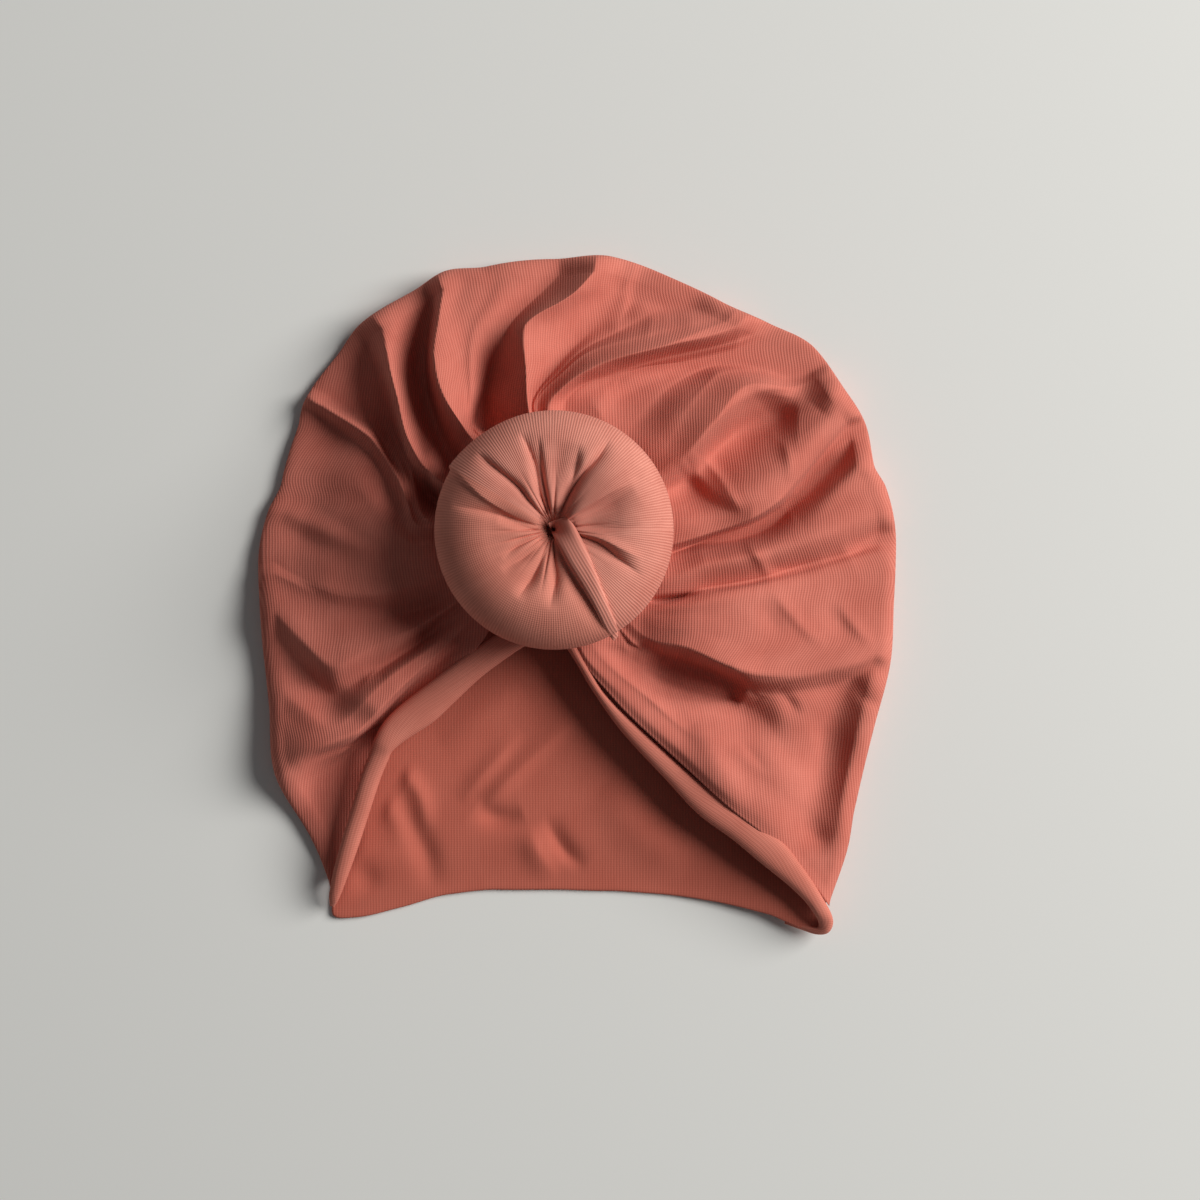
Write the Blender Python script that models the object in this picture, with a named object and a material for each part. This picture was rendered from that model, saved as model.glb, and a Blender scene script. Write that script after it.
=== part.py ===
"""Turban headwrap of baby size, lying flat: a gathered jersey cap with a padded knot.

Metres, +Z up. +Y points to the crown of the cap, -Y to its mouth and nape, and the knot faces +Z.
The origin lies under the middle of the cap's outline, on the surface that the cap rests on.

The cap is drawn in a plan round the knot: a bearing in degrees, counter-clockwise from +X, and a
share of the way from the knot's middle to the outline. The fold table gives, for each fold line,
its bearing and its rise at a few of those shares.
"""

import math
from collections import namedtuple

import bpy
import bmesh
import numpy as np

# Size of the cap
CAP_WIDTH = 0.1755
CAP_LENGTH = 0.1862
CLOTH_WALL = 0.0015
PIECE_GAP = 0.0003

# Height of the cloth
CROWN_HEIGHT = 0.0085
CROWN_TURN = 0.0045
SEAT_HEIGHT = 0.0175
FOLD_RISE = 0.0072
WRINKLE_RISE = 0.0008
WRINKLE_WIDTH = 0.0032

# Knot and strap
KNOT_RADIUS = 0.0312
KNOT_THICKNESS = 0.0275
KNOT_FLAT_RADIUS = 0.0165
DIMPLE_RADIUS = 0.0125
DIMPLE_DEPTH = 0.0115
GATHER_DEPTH = 0.0016
STITCH_HOLE_RADIUS = 0.0050
STRAP_WALL = 0.0012
STRAP_ROOT_WIDTH = 0.0030
STRAP_TIP_WIDTH = 0.0072
STRAP_LIFT = 0.0007
STRAP_BEARING = -61.0

# Rolled hems of the mouth
HEM_ROLL_WIDTH = 0.0070
HEM_ROLL_HEIGHT = 0.0034
HEM_START_SHARE = 0.86
HEM_TIP_SHARE = 0.6
LEFT_CORNER = 239.6
RIGHT_CORNER = 304.5

# The back panel ends a little inside the crown fold that covers its edge
BACK_INSET = 0.0016
EDGE_ROUND = 0.0005
CORNER_TURN_DEG = 3.0

# Mesh steps
COLUMN_STEP_DEG = 5.0
SHEET_SHARES = (0.0, 0.16, 0.27, 0.36, 0.44, 0.52, 0.60, 0.68, 0.76, 0.84, 0.92, 1.0)
ROLL_STEPS = 4
BACK_STEP_DEG = 5.5
BACK_ROWS = 8
KNOT_COLUMNS = 72
KNOT_ROWS = 6
HEM_SIDES = 8
STRAP_ROWS = 9

# Section of the strap: place across its half width, and level through its wall
STRAP_SECTION = ((-1.0, 0.0), (-0.6, 1.0), (0.6, 1.0), (1.0, 0.0))

# Outline of the cap about the knot: bearing, and reach as a share of the cap's length
Reach = namedtuple("Reach", "bearing reach")
OUTLINE = (
    Reach(0, 0.505), Reach(7.4, 0.495), Reach(11.7, 0.483), Reach(18.5, 0.487), Reach(27, 0.477),
    Reach(35, 0.471), Reach(44, 0.442), Reach(54, 0.420), Reach(66, 0.413), Reach(78, 0.415),
    Reach(90, 0.402), Reach(104, 0.403), Reach(113, 0.416), Reach(120, 0.410), Reach(133, 0.417),
    Reach(141, 0.410), Reach(152, 0.413), Reach(159, 0.405), Reach(170, 0.406), Reach(176, 0.420),
    Reach(184, 0.434), Reach(193, 0.444), Reach(204, 0.466), Reach(212, 0.493), Reach(222, 0.549),
    Reach(231, 0.575), Reach(238, 0.620), Reach(240.6, 0.661), Reach(243, 0.648), Reach(248, 0.607),
    Reach(254, 0.565), Reach(261.5, 0.542), Reach(270, 0.536), Reach(278, 0.543), Reach(286, 0.564),
    Reach(293, 0.600), Reach(299, 0.652), Reach(303.6, 0.713), Reach(307, 0.682), Reach(313, 0.639),
    Reach(317, 0.608), Reach(324, 0.572), Reach(330, 0.552), Reach(338.5, 0.535), Reach(348, 0.514),
    Reach(354, 0.508),
)

# Fold lines of the front panel, counter-clockwise from the right hem to the left one. Bearings and
# rises stand at FOLD_SHARES of the outline's reach, and a rise is a share of FOLD_RISE. A crisp of
# 0 rounds the line over and 1 creases it.
FOLD_SHARES = (0.30, 0.45, 0.60, 0.75, 0.88, 1.00)
Fold = namedtuple("Fold", "name bearing rise crisp")
FOLDS = (
    Fold("right_hem", (-84, -71, -62.5, -57.5, -55.6, -53.8), (-0.1, -0.3, -0.3, -0.25, -0.1, 0.0), 1.0),
    Fold("right_flare", (-78, -64, -56, -50, -47, -46), (0.0, 0.35, 0.45, 0.4, 0.25, 0.05), 0.0),
    Fold("pocket", (-60, -50, -42.5, -40, -38, -36), (-0.1, -0.55, -0.6, -0.05, -0.1, -0.05), 0.0),
    Fold("g_ridge", (-50, -41, -37, -31, -25.5, -21), (0.05, 0.35, 0.4, 0.3, 0.2, 0.1), 0.5),
    Fold("g_panel", (-42, -31, -25, -18, -13, -10), (0.1, 0.6, 0.6, 0.45, 0.3, 0.05), 0.0),
    Fold("g_edge", (-37.5, -23, -15.2, -9, -5.4, -3), (0.1, 0.75, 0.6, 0.4, 0.2, 0.05), 1.0),
    Fold("g_slit", (-35.5, -21.2, -13.6, -7.5, -4, -1.5), (-0.1, 0.0, 0.05, 0.05, 0.0, -0.05), 1.0),
    Fold("f_panel", (-26, -13, -7, -2, 2, 5), (0.05, 0.25, 0.35, 0.3, 0.2, 0.1), 0.0),
    Fold("e_slit", (-12, -3.5, 2.4, 7, 11, 17.5), (-0.1, -0.5, -0.7, -0.2, -0.15, -0.1), 1.0),
    Fold("e_edge", (-9.5, -1.5, 4, 8.3, 12.6, 19.3), (0.0, 0.15, 0.35, 0.15, 0.0, -0.05), 1.0),
    Fold("e_panel", (0, 5, 9, 12.5, 17.5, 22), (0.05, 0.3, 0.5, 0.5, 0.35, 0.15), 0.0),
    Fold("d_valley", (17, 20, 21.5, 22.5, 22.8, 24), (-0.05, -0.25, -0.1, 0.0, 0.1, 0.08), 0.0),
    Fold("d_crest", (22, 28, 33.1, 36.5, 28.5, 26), (0.05, 0.35, 0.6, 0.6, 0.25, 0.1), 0.8),
    Fold("d_pit", (32, 37, 40, 42, 33, 31), (0.0, 0.0, 0.1, 0.0, -0.35, -0.12), 0.0),
    Fold("c_panel", (52, 53, 52, 47, 40, 36), (0.0, -0.1, -0.05, -0.1, -0.12, -0.05), 0.0),
    Fold("c_facet", (70, 67.5, 66, 52.3, 43.2, 39.5), (0.0, 0.1, 0.0, -0.12, -0.1, -0.04), 1.0),
    Fold("c_foot", (84, 84, 69, 53.8, 44.6, 41.5), (0.0, -0.1, -0.1, -0.1, -0.08, 0.0), 0.0),
    Fold("c_crest", (93, 92, 76, 60.5, 51, 46), (0.05, 0.2, 0.45, 0.5, 0.4, 0.12), 0.0),
    Fold("c_back", (97, 97.2, 84, 67, 56, 49.5), (0.0, 0.0, 0.1, 0.1, 0.02, 0.02), 0.5),
    Fold("top_panel", (98.4, 98.5, 86, 72.5, 66, 63), (0.0, 0.0, 0.1, 0.12, 0.05, 0.05), 0.0),
    Fold("b_foot", (99.7, 99.8, 89, 78, 75.5, 74.5), (0.0, -0.05, -0.05, 0.1, 0.12, 0.05), 0.0),
    Fold("b_crest", (101.5, 101.4, 100.2, 98.5, 84, 78.6), (0.05, 0.3, 0.45, 0.65, 0.4, 0.15), 0.7),
    Fold("a_valley", (118, 124, 109.5, 103, 87.5, 80.6), (-0.1, -0.8, -0.3, -0.1, 0.0, 0.0), 0.7),
    Fold("a_slope", (124, 128, 120, 113, 103, 97), (0.0, 0.1, 0.35, 0.35, 0.25, 0.1), 0.0),
    Fold("a_crest", (133, 132.2, 131, 126.5, 120, 113), (0.1, 0.7, 0.85, 0.75, 0.45, 0.15), 0.6),
    Fold("a_lee", (150, 149, 139.5, 129.8, 122.5, 116), (-0.1, -0.55, -0.45, -0.35, -0.3, -0.1), 0.0),
    Fold("h_crest", (158, 156.4, 152, 141.5, 134, 129.8), (0.05, 0.35, 0.55, 0.55, 0.4, 0.15), 0.4),
    Fold("h_lee", (167, 166, 155.6, 145.8, 137.7, 133.5), (-0.1, -0.7, -0.1, -0.3, -0.25, -0.1), 0.0),
    Fold("h_under", (176.5, 176.8, 158.5, 148.5, 143, 139), (0.0, 0.1, 0.0, -0.1, -0.1, -0.05), 1.0),
    Fold("i_crest", (180, 179, 161, 151.8, 151.6, 151.3), (0.0, 0.0, 0.05, 0.3, 0.3, 0.12), 0.3),
    Fold("i_lee", (184, 183, 166, 155.7, 155, 154), (0.0, -0.05, -0.12, -0.15, -0.12, -0.05), 0.0),
    Fold("left_panel", (188, 187, 176, 168, 166, 164), (0.0, -0.05, -0.05, 0.05, 0.12, 0.08), 0.0),
    Fold("left_crease", (191, 190, 183, 177, 173, 171), (0.0, -0.08, -0.1, -0.05, 0.0, 0.0), 0.0),
    Fold("left_ridge", (194, 193, 187.5, 181.5, 177.5, 175.5), (0.0, -0.05, 0.0, 0.05, 0.1, 0.06), 0.0),
    Fold("j_crest", (200, 200, 199.5, 195, 189.5, 184), (0.05, 0.15, 0.15, 0.15, 0.15, 0.06), 0.5),
    Fold("j_lee", (212, 211, 205, 199, 192, 187), (-0.1, -0.45, -0.2, -0.08, 0.0, 0.0), 0.0),
    Fold("n_crest", (217, 216, 213.5, 212.5, 202.5, 191.5), (0.0, -0.1, 0.15, 0.35, 0.3, 0.1), 0.5),
    Fold("k_crease", (220, 219.4, 218.4, 217.5, 208.5, 197), (-0.1, -0.45, -0.15, -0.1, -0.1, 0.0), 0.6),
    Fold("l_crest", (225, 224.3, 222.5, 223, 219, 216), (0.05, 0.15, 0.25, 0.15, 0.1, 0.08), 0.0),
    Fold("l_edge", (228, 227.2, 226.6, 226.4, 223, 221.7), (0.05, 0.1, 0.25, 0.2, 0.15, 0.05), 1.0),
    Fold("m_valley", (231, 229, 227.7, 228, 228.5, 229), (-0.05, -0.15, -0.1, -0.25, -0.25, 0.0), 0.0),
    Fold("left_hem", (235, 231, 228.8, 229.8, 234, 237.6), (0.0, -0.1, 0.0, -0.15, -0.2, 0.0), 1.0),
)

# Soft wrinkles of the back panel: both ends as a bearing and a share of the cap's length
Wrinkle = namedtuple("Wrinkle", "name bearing_a reach_a bearing_b reach_b")
WRINKLES = (
    Wrinkle("slant", 255, 0.42, 276, 0.28),
    Wrinkle("curl", 270, 0.44, 275, 0.50),
    Wrinkle("left_bump", 238, 0.47, 243, 0.50),
    Wrinkle("middle", 262, 0.36, 284, 0.42),
)

# Gathers of the knot's cover: bearing, depth as a share of GATHER_DEPTH, half width in degrees
Gather = namedtuple("Gather", "name bearing depth half_width")
GATHERS = (
    Gather("petal", 28.5, 0.8, 8), Gather("petal_shade", 56, 1.0, 8), Gather("upper_a", 72, 0.8, 7),
    Gather("upper_b", 102, 0.8, 7), Gather("upper_c", 120, 0.5, 6), Gather("upper_d", 137, 0.8, 6),
    Gather("seam", 150, 0.9, 5), Gather("side_a", 170, 0.8, 7), Gather("side_b", 200, 0.8, 8),
    Gather("side_c", 235, 0.8, 8), Gather("lower_a", 253, 0.6, 7), Gather("lower_b", 275, 0.7, 7),
    Gather("lower_c", 294, 0.6, 6), Gather("strap_side", 306, 0.8, 6), Gather("right_a", 332, 0.8, 7),
    Gather("right_b", 341, 0.7, 6), Gather("right_c", 357, 0.6, 7),
)

# Colour, roughness: salmon jersey, its lighter reverse side, and the tighter cover of the knot
Finish = namedtuple("Finish", "name colour roughness")
FRONT_JERSEY = Finish("front_jersey", (0.52, 0.15, 0.10), 0.9)
BACK_JERSEY = Finish("back_jersey", (0.50, 0.16, 0.11), 0.9)
HEM_LEFT_JERSEY = Finish("hem_left_jersey", (0.60, 0.22, 0.16), 0.9)
HEM_RIGHT_JERSEY = Finish("hem_right_jersey", (0.58, 0.21, 0.15), 0.9)
KNOT_JERSEY = Finish("knot_jersey", (0.62, 0.23, 0.17), 0.85)
STRAP_JERSEY = Finish("strap_jersey", (0.60, 0.22, 0.16), 0.85)


def smoothstep(value):
    """0 below 0, 1 above 1, and an even curve between them."""
    bounded = np.clip(value, 0.0, 1.0)
    return bounded * bounded * (3.0 - 2.0 * bounded)


def smooth_curve(x, known_x, known_y):
    """A curve through the known points that never overshoots them, with its slope kept even."""
    known_x = np.asarray(known_x, float)
    known_y = np.asarray(known_y, float)
    step = np.diff(known_x)
    slope = np.diff(known_y) / step
    tangent = np.zeros_like(known_y)
    before, after = slope[:-1], slope[1:]
    same_way = before * after > 0
    total = np.where(same_way, before + after, 1.0)
    tangent[1:-1] = np.where(same_way, 2.0 * before * after / total, 0.0)
    tangent[0], tangent[-1] = slope[0], slope[-1]
    place = np.clip(np.searchsorted(known_x, x, side="right") - 1, 0, len(step) - 1)
    width = step[place]
    t = np.clip((x - known_x[place]) / width, 0.0, 1.0)
    rise = known_y[place + 1] - known_y[place]
    bend = width * (tangent[place] * (t**3 - 2 * t**2 + t) + tangent[place + 1] * (t**3 - t**2))
    return known_y[place] + rise * (3 * t**2 - 2 * t**3) + bend


def raw_reach(bearing):
    """Reach of the outline at a bearing, as a share of the cap's length."""
    bearings = [row.bearing + turn for turn in (-360, 0, 360) for row in OUTLINE]
    reaches = [row.reach for _ in range(3) for row in OUTLINE]
    return smooth_curve(np.mod(bearing, 360.0), bearings, reaches)


def outline_bearings(step):
    """Every bearing of the outline's table, and even steps between them."""
    corners = [row.bearing for row in OUTLINE] + [OUTLINE[0].bearing + 360.0]
    bearings = []
    for here, there in zip(corners, corners[1:]):
        count = math.ceil((there - here) / step)
        bearings += [here + (there - here) * k / count for k in range(count)]
    return np.array(bearings)


class Plan:
    """The cap's plan, which gives a point from a bearing and a reach."""

    def __init__(self):
        bearings = np.radians(np.arange(0.0, 360.0, 0.25))
        reach = raw_reach(np.degrees(bearings))
        x, y = reach * np.cos(bearings), reach * np.sin(bearings)
        self.middle = ((x.max() + x.min()) / 2, (y.max() + y.min()) / 2)
        self.scale = (CAP_WIDTH / np.ptp(x), CAP_LENGTH / np.ptp(y))
        self.knot = (-self.middle[0] * self.scale[0], -self.middle[1] * self.scale[1])

    def rim(self, bearing):
        """Distance from the knot's middle to the outline, in metres."""
        angle = np.radians(bearing)
        reach = raw_reach(bearing)
        return np.hypot(reach * np.cos(angle) * self.scale[0], reach * np.sin(angle) * self.scale[1])

    def point(self, bearing, distance):
        """X and Y at a distance in metres from the knot, towards the outline point of a bearing."""
        angle = np.radians(bearing)
        run = np.cos(angle) * self.scale[0]
        rise = np.sin(angle) * self.scale[1]
        length = np.hypot(run, rise)
        return self.knot[0] + distance * run / length, self.knot[1] + distance * rise / length


def shaded(name, finish, mesh, location=(0.0, 0.0, 0.0)):
    """An object of this mesh with its own material, shaded smooth."""
    mesh.name = name
    mesh.shade_smooth()
    mesh.set_sharp_from_angle(angle=math.radians(50))
    obj = bpy.data.objects.new(name, mesh)
    obj.location = location
    material = bpy.data.materials.new(finish.name)
    material.use_nodes = True
    shader = material.node_tree.nodes["Principled BSDF"]
    shader.inputs["Base Color"].default_value = (*finish.colour, 1.0)
    shader.inputs["Roughness"].default_value = finish.roughness
    shader.inputs["Metallic"].default_value = 0.0
    mesh.materials.append(material)
    return obj


def lofted(rings, folded_ends=False):
    """A closed mesh lofted through closed rings of points, with its two ends filled.

    A folded end is that of a ring which runs out along the outer face of a wall and back along the
    inner one, so it is filled from face to face.
    """
    bm = bmesh.new()
    rows = [[bm.verts.new(point) for point in ring] for ring in rings]
    count = len(rows[0])
    for lower, upper in zip(rows, rows[1:]):
        for k in range(count):
            m = (k + 1) % count
            bm.faces.new((lower[k], lower[m], upper[m], upper[k]))
    for ring in (rows[0], rows[-1]):
        if folded_ends:
            for k in range(count // 2 - 1):
                bm.faces.new((ring[k], ring[k + 1], ring[-2 - k], ring[-1 - k]))
        else:
            bm.faces.new(ring)
    bmesh.ops.triangulate(bm, faces=bm.faces[:])
    bmesh.ops.recalc_face_normals(bm, faces=bm.faces[:])
    mesh = bpy.data.meshes.new("loft")
    bm.to_mesh(mesh)
    bm.free()
    return mesh


def column_places():
    """Where each column of the front panel stands: its fold line, and the part of the way on."""
    places = []
    for k in range(len(FOLDS) - 1):
        widest = max(b - a for a, b in zip(FOLDS[k].bearing, FOLDS[k + 1].bearing))
        steps = max(1, round(widest / COLUMN_STEP_DEG))
        places += [(k, j / steps) for j in range(steps)]
    return places + [(len(FOLDS) - 2, 1.0)]


def between_folds(values, places, crisp):
    """Values of fold lines (line, share) at the columns, rounded or creased at each line."""
    columns = []
    for k, t in places:
        leave, arrive = crisp[k], crisp[k + 1]
        blend = 3 * t**2 - 2 * t**3 + leave * (t**3 - 2 * t**2 + t) + arrive * (t**3 - t**2)
        columns.append(values[k] + (values[k + 1] - values[k]) * blend)
    return np.array(columns)


def front_sheet(plan):
    """Outer face of the front panel up to the crown fold, as (column, row) arrays x, y, z."""
    places = column_places()
    even = np.ones(len(FOLDS))
    crisp = np.array([fold.crisp for fold in FOLDS])
    table_bearing = np.array([fold.bearing for fold in FOLDS], float)
    table_rise = np.array([fold.rise for fold in FOLDS], float)
    spread = np.linspace(table_bearing[0, 0], table_bearing[-1, 0], len(places))
    bearing_knots = np.column_stack([spread, between_folds(table_bearing, places, even)])
    rise_knots = between_folds(table_rise, places, crisp)
    rim = plan.rim(bearing_knots[:, -1])
    x, y, z = (np.zeros((len(places), len(SHEET_SHARES))) for _ in range(3))
    for column in range(len(places)):
        hole_share = STITCH_HOLE_RADIUS / rim[column]
        last_share = 1.0 - CROWN_TURN / rim[column]
        shares = hole_share + (last_share - hole_share) * np.array(SHEET_SHARES)
        bearing = smooth_curve(shares, (hole_share, *FOLD_SHARES), bearing_knots[column])
        reach = plan.rim(bearing)
        distance = STITCH_HOLE_RADIUS + (reach - CROWN_TURN - STITCH_HOLE_RADIUS) * np.array(SHEET_SHARES)
        rise = smooth_curve(shares, FOLD_SHARES, rise_knots[column])
        x[column], y[column] = plan.point(bearing, distance)
        z[column] = sheet_height(distance, reach, rise)
    return x, y, z


def sheet_height(distance, reach, rise):
    """Height of the front panel: a low dome down from the knot's seat, with the folds on it."""
    run = np.clip((distance - KNOT_FLAT_RADIUS) / (reach - CROWN_TURN - KNOT_FLAT_RADIUS), 0.0, 1.0)
    dome = CROWN_HEIGHT + (SEAT_HEIGHT - CROWN_HEIGHT) * (1.0 - run**1.5)
    gather_start, gather_full = 0.70 * KNOT_RADIUS, 1.08 * KNOT_RADIUS
    gathered = smoothstep((distance - gather_start) / (gather_full - gather_start))
    return dome + FOLD_RISE * rise * gathered


def crown_front(plan):
    """The gathered front panel, one wall thick, turned down and under along the crown."""
    x, y, z = front_sheet(plan)
    columns = x.shape[0]
    along = np.gradient(z, axis=1) / np.hypot(np.gradient(x, axis=1), np.gradient(y, axis=1))
    around = np.gradient(z, axis=0) / np.hypot(np.gradient(x, axis=0), np.gradient(y, axis=0))
    upright_wall = CLOTH_WALL * np.minimum(np.sqrt(1.0 + along**2 + around**2), 2.0)
    upright_wall[:, -1] = CLOTH_WALL
    bottom = CLOTH_WALL + PIECE_GAP
    rings = []
    for column in range(columns):
        outer = list(zip(x[column], y[column], z[column]))
        inner = list(zip(x[column], y[column], z[column] - upright_wall[column]))
        top = z[column, -1]
        middle, half = (top + bottom) / 2, (top - bottom) / 2
        edge = np.array((x[column, -1], y[column, -1]))
        out = edge - np.array(plan.knot)
        out = out / np.linalg.norm(out)
        for step in range(1, ROLL_STEPS + 1):
            angle = math.pi / 2 - math.pi * step / ROLL_STEPS
            place = edge + out * CROWN_TURN * math.cos(angle)
            outer.append((*place, middle + half * math.sin(angle)))
            place = edge + out * (CROWN_TURN - CLOTH_WALL) * math.cos(angle)
            inner.append((*place, middle + (half - CLOTH_WALL) * math.sin(angle)))
        rings.append(outer + inner[::-1])
    mesh = lofted(rings, folded_ends=True)
    return shaded("crown_front", FRONT_JERSEY, mesh)


def wrinkle_rise(plan, x, y):
    """Rise of the back panel's soft wrinkles at a point."""
    rise = 0.0
    for row in WRINKLES:
        start = np.array(plan.point(row.bearing_a, row.reach_a * CAP_LENGTH))
        end = np.array(plan.point(row.bearing_b, row.reach_b * CAP_LENGTH))
        run = end - start
        here = np.array((x, y)) - start
        along = np.clip(here @ run / (run @ run), 0.0, 1.0)
        away = np.linalg.norm(here - along * run)
        rise += WRINKLE_RISE * math.exp(-((away / WRINKLE_WIDTH) ** 2))
    return rise


def crown_back(plan):
    """The back panel: a flat sheet with the cap's outline, under the front panel's crown fold."""
    bearings = outline_bearings(BACK_STEP_DEG)
    left, right = FOLDS[-1].bearing[-1], FOLDS[0].bearing[-1] + 360.0
    bare = smoothstep((bearings - left) / CORNER_TURN_DEG) * smoothstep((right - bearings) / CORNER_TURN_DEG)
    rim = plan.rim(bearings) - BACK_INSET * (1.0 - bare)
    rings = []
    for row in range(1, BACK_ROWS + 1):
        x, y = plan.point(bearings, row / BACK_ROWS * (rim - EDGE_ROUND))
        lift = [wrinkle_rise(plan, *place) if row < BACK_ROWS else 0.0 for place in zip(x, y)]
        rings.append(list(zip(x, y, CLOTH_WALL + np.array(lift))))
    for inset, height in ((0.0, CLOTH_WALL / 2), (EDGE_ROUND, 0.0)):
        rings.append([(*plan.point(b, r - inset), height) for b, r in zip(bearings, rim)])
    return shaded("crown_back", BACK_JERSEY, lofted(rings))


def hem_roll(name, finish, plan, column, into_mouth, corner_bearing):
    """A flattened roll along one edge of the mouth, from under the knot down to the corner."""
    x, y, z = (grid[column] for grid in front_sheet(plan))
    reach = np.hypot(x - plan.knot[0], y - plan.knot[1])
    seen = reach > HEM_START_SHARE * KNOT_RADIUS
    edge = np.column_stack([x[seen], y[seen], z[seen] - CLOTH_WALL / 2])
    run = np.gradient(edge[:, :2], axis=0)
    run = run / np.linalg.norm(run, axis=1)[:, None]
    side = np.column_stack([-run[:, 1], run[:, 0]]) * into_mouth
    half_width, half_height = HEM_ROLL_WIDTH / 2, HEM_ROLL_HEIGHT / 2
    centres = edge + np.column_stack([side * (half_width + PIECE_GAP), np.zeros(len(edge))])
    low = CLOTH_WALL + PIECE_GAP + half_height
    tip_reach = plan.rim(corner_bearing) - half_width * HEM_TIP_SHARE
    before = plan.point(corner_bearing, tip_reach - half_width)
    tip = plan.point(corner_bearing, tip_reach)
    centres = np.vstack([centres[:-1], (*before, (low + centres[-1, 2]) / 2), (*tip, low)])
    breadth = np.ones(len(centres))
    breadth[-2:] = (1.0 + HEM_TIP_SHARE) / 2, HEM_TIP_SHARE
    run = np.gradient(centres[:, :2], axis=0)
    run = run / np.linalg.norm(run, axis=1)[:, None]
    side = np.column_stack([-run[:, 1], run[:, 0]])
    rings = []
    for centre, across, share in zip(centres, side, breadth):
        ring = []
        for k in range(HEM_SIDES):
            angle = 2 * math.pi * k / HEM_SIDES
            point = centre[:2] + across * half_width * share * math.cos(angle)
            ring.append((*point, centre[2] + half_height * math.sin(angle)))
        rings.append(ring)
    return shaded(name, finish, lofted(rings))


def knot_profile():
    """Radius and height of the knot's outside, from the floor of its dimple to its underside."""
    top = KNOT_THICKNESS
    equator = 0.48 * KNOT_THICKNESS
    crest_radius = (KNOT_RADIUS + DIMPLE_RADIUS * 0.35) / 2
    rows = [(DIMPLE_RADIUS * 0.25, top - DIMPLE_DEPTH)]
    for step in range(1, KNOT_ROWS):
        angle = math.pi * (1.0 - step / (2 * KNOT_ROWS - 1))
        inward = (crest_radius - DIMPLE_RADIUS * 0.25) * math.cos(angle)
        rows.append((crest_radius + inward, top - DIMPLE_DEPTH * (1.0 - math.sin(angle)) ** 1.4))
    for step in range(KNOT_ROWS):
        angle = math.pi / 2 * (1.0 - step / KNOT_ROWS)
        reach = crest_radius + (KNOT_RADIUS - crest_radius) * math.cos(angle)
        rows.append((reach, equator + (top - equator) * math.sin(angle)))
    for step in range(KNOT_ROWS // 2 + 1):
        angle = math.pi / 2 * step / (KNOT_ROWS // 2)
        reach = KNOT_FLAT_RADIUS + (KNOT_RADIUS - KNOT_FLAT_RADIUS) * math.cos(angle)
        rows.append((reach, equator * (1.0 - math.sin(angle))))
    return rows


def gather_depth(bearing):
    """Depth of the knot's gathers at a bearing."""
    depth = 0.0
    for row in GATHERS:
        away = abs((bearing - row.bearing + 180.0) % 360.0 - 180.0)
        depth = max(depth, row.depth * math.exp(-((away / row.half_width) ** 2)))
    return GATHER_DEPTH * depth


def knot_ring(plan):
    """The padded ring, closed at its dimple, with gathers that run from the dimple to its side."""
    bearings = np.linspace(0.0, 360.0, KNOT_COLUMNS, endpoint=False)
    angle = np.radians(bearings)
    depth = np.array([gather_depth(bearing) for bearing in bearings])
    rings = []
    for reach, height in knot_profile():
        on_top = smoothstep((height / KNOT_THICKNESS - 0.45) / 0.45)
        near_dimple = 1.0 - smoothstep((reach / KNOT_RADIUS - 0.35) / 0.65)
        sunk = height - depth * on_top * near_dimple
        rings.append(list(zip(reach * np.cos(angle), reach * np.sin(angle), sunk)))
    return shaded("knot_ring", KNOT_JERSEY, lofted(rings), (*plan.knot, SEAT_HEIGHT + PIECE_GAP))


def knot_strap(plan):
    """The narrow folded lip that lies on the ring, from its dimple over to its lower right side."""
    rows = np.array(knot_profile())
    places = np.linspace(1, 2 * KNOT_ROWS, STRAP_ROWS)
    reach = np.interp(places, np.arange(len(rows)), rows[:, 0])
    height = np.interp(places, np.arange(len(rows)), rows[:, 1])
    run, rise = np.gradient(reach), np.gradient(height)
    length = np.hypot(run, rise)
    out_reach, out_height = -rise / length, run / length
    widths = np.linspace(STRAP_ROOT_WIDTH, STRAP_TIP_WIDTH, STRAP_ROWS)
    angle = math.radians(STRAP_BEARING)
    forward = np.array((math.cos(angle), math.sin(angle)))
    across = np.array((-math.sin(angle), math.cos(angle)))
    rings = []
    for k in range(STRAP_ROWS):
        ring = []
        for side, level in STRAP_SECTION:
            away = STRAP_LIFT + STRAP_WALL * level
            flat = forward * (reach[k] + out_reach[k] * away) + across * widths[k] / 2 * side
            ring.append((*flat, height[k] + out_height[k] * away))
        rings.append(ring)
    return shaded("knot_strap", STRAP_JERSEY, lofted(rings), (*plan.knot, SEAT_HEIGHT + PIECE_GAP))


def main():
    for obj in list(bpy.data.objects):
        bpy.data.objects.remove(obj, do_unlink=True)
    collection = bpy.data.collections.new("turban_headwrap")
    bpy.context.scene.collection.children.link(collection)
    plan = Plan()
    pieces = (
        crown_front(plan),
        crown_back(plan),
        hem_roll("hem_left", HEM_LEFT_JERSEY, plan, -1, 1, LEFT_CORNER),
        hem_roll("hem_right", HEM_RIGHT_JERSEY, plan, 0, -1, RIGHT_CORNER),
        knot_ring(plan),
        knot_strap(plan),
    )
    for piece in pieces:
        collection.objects.link(piece)


if __name__ == "__main__":
    main()
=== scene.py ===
"""Turban headwrap of baby size, lying flat: its cloth, padded knot and studio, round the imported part.

The cloth is drawn in a plan round the knot: a bearing in degrees, counter-clockwise from +X, and a
share of the way from the knot's middle to the cap's outline. Tables give the folds in that plan and
the finer creases in steps of the photo. Lengths are metres unless a name says otherwise.
"""

import logging
import math
from collections import namedtuple
from collections.abc import Callable
from dataclasses import dataclass
from enum import Enum

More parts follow.
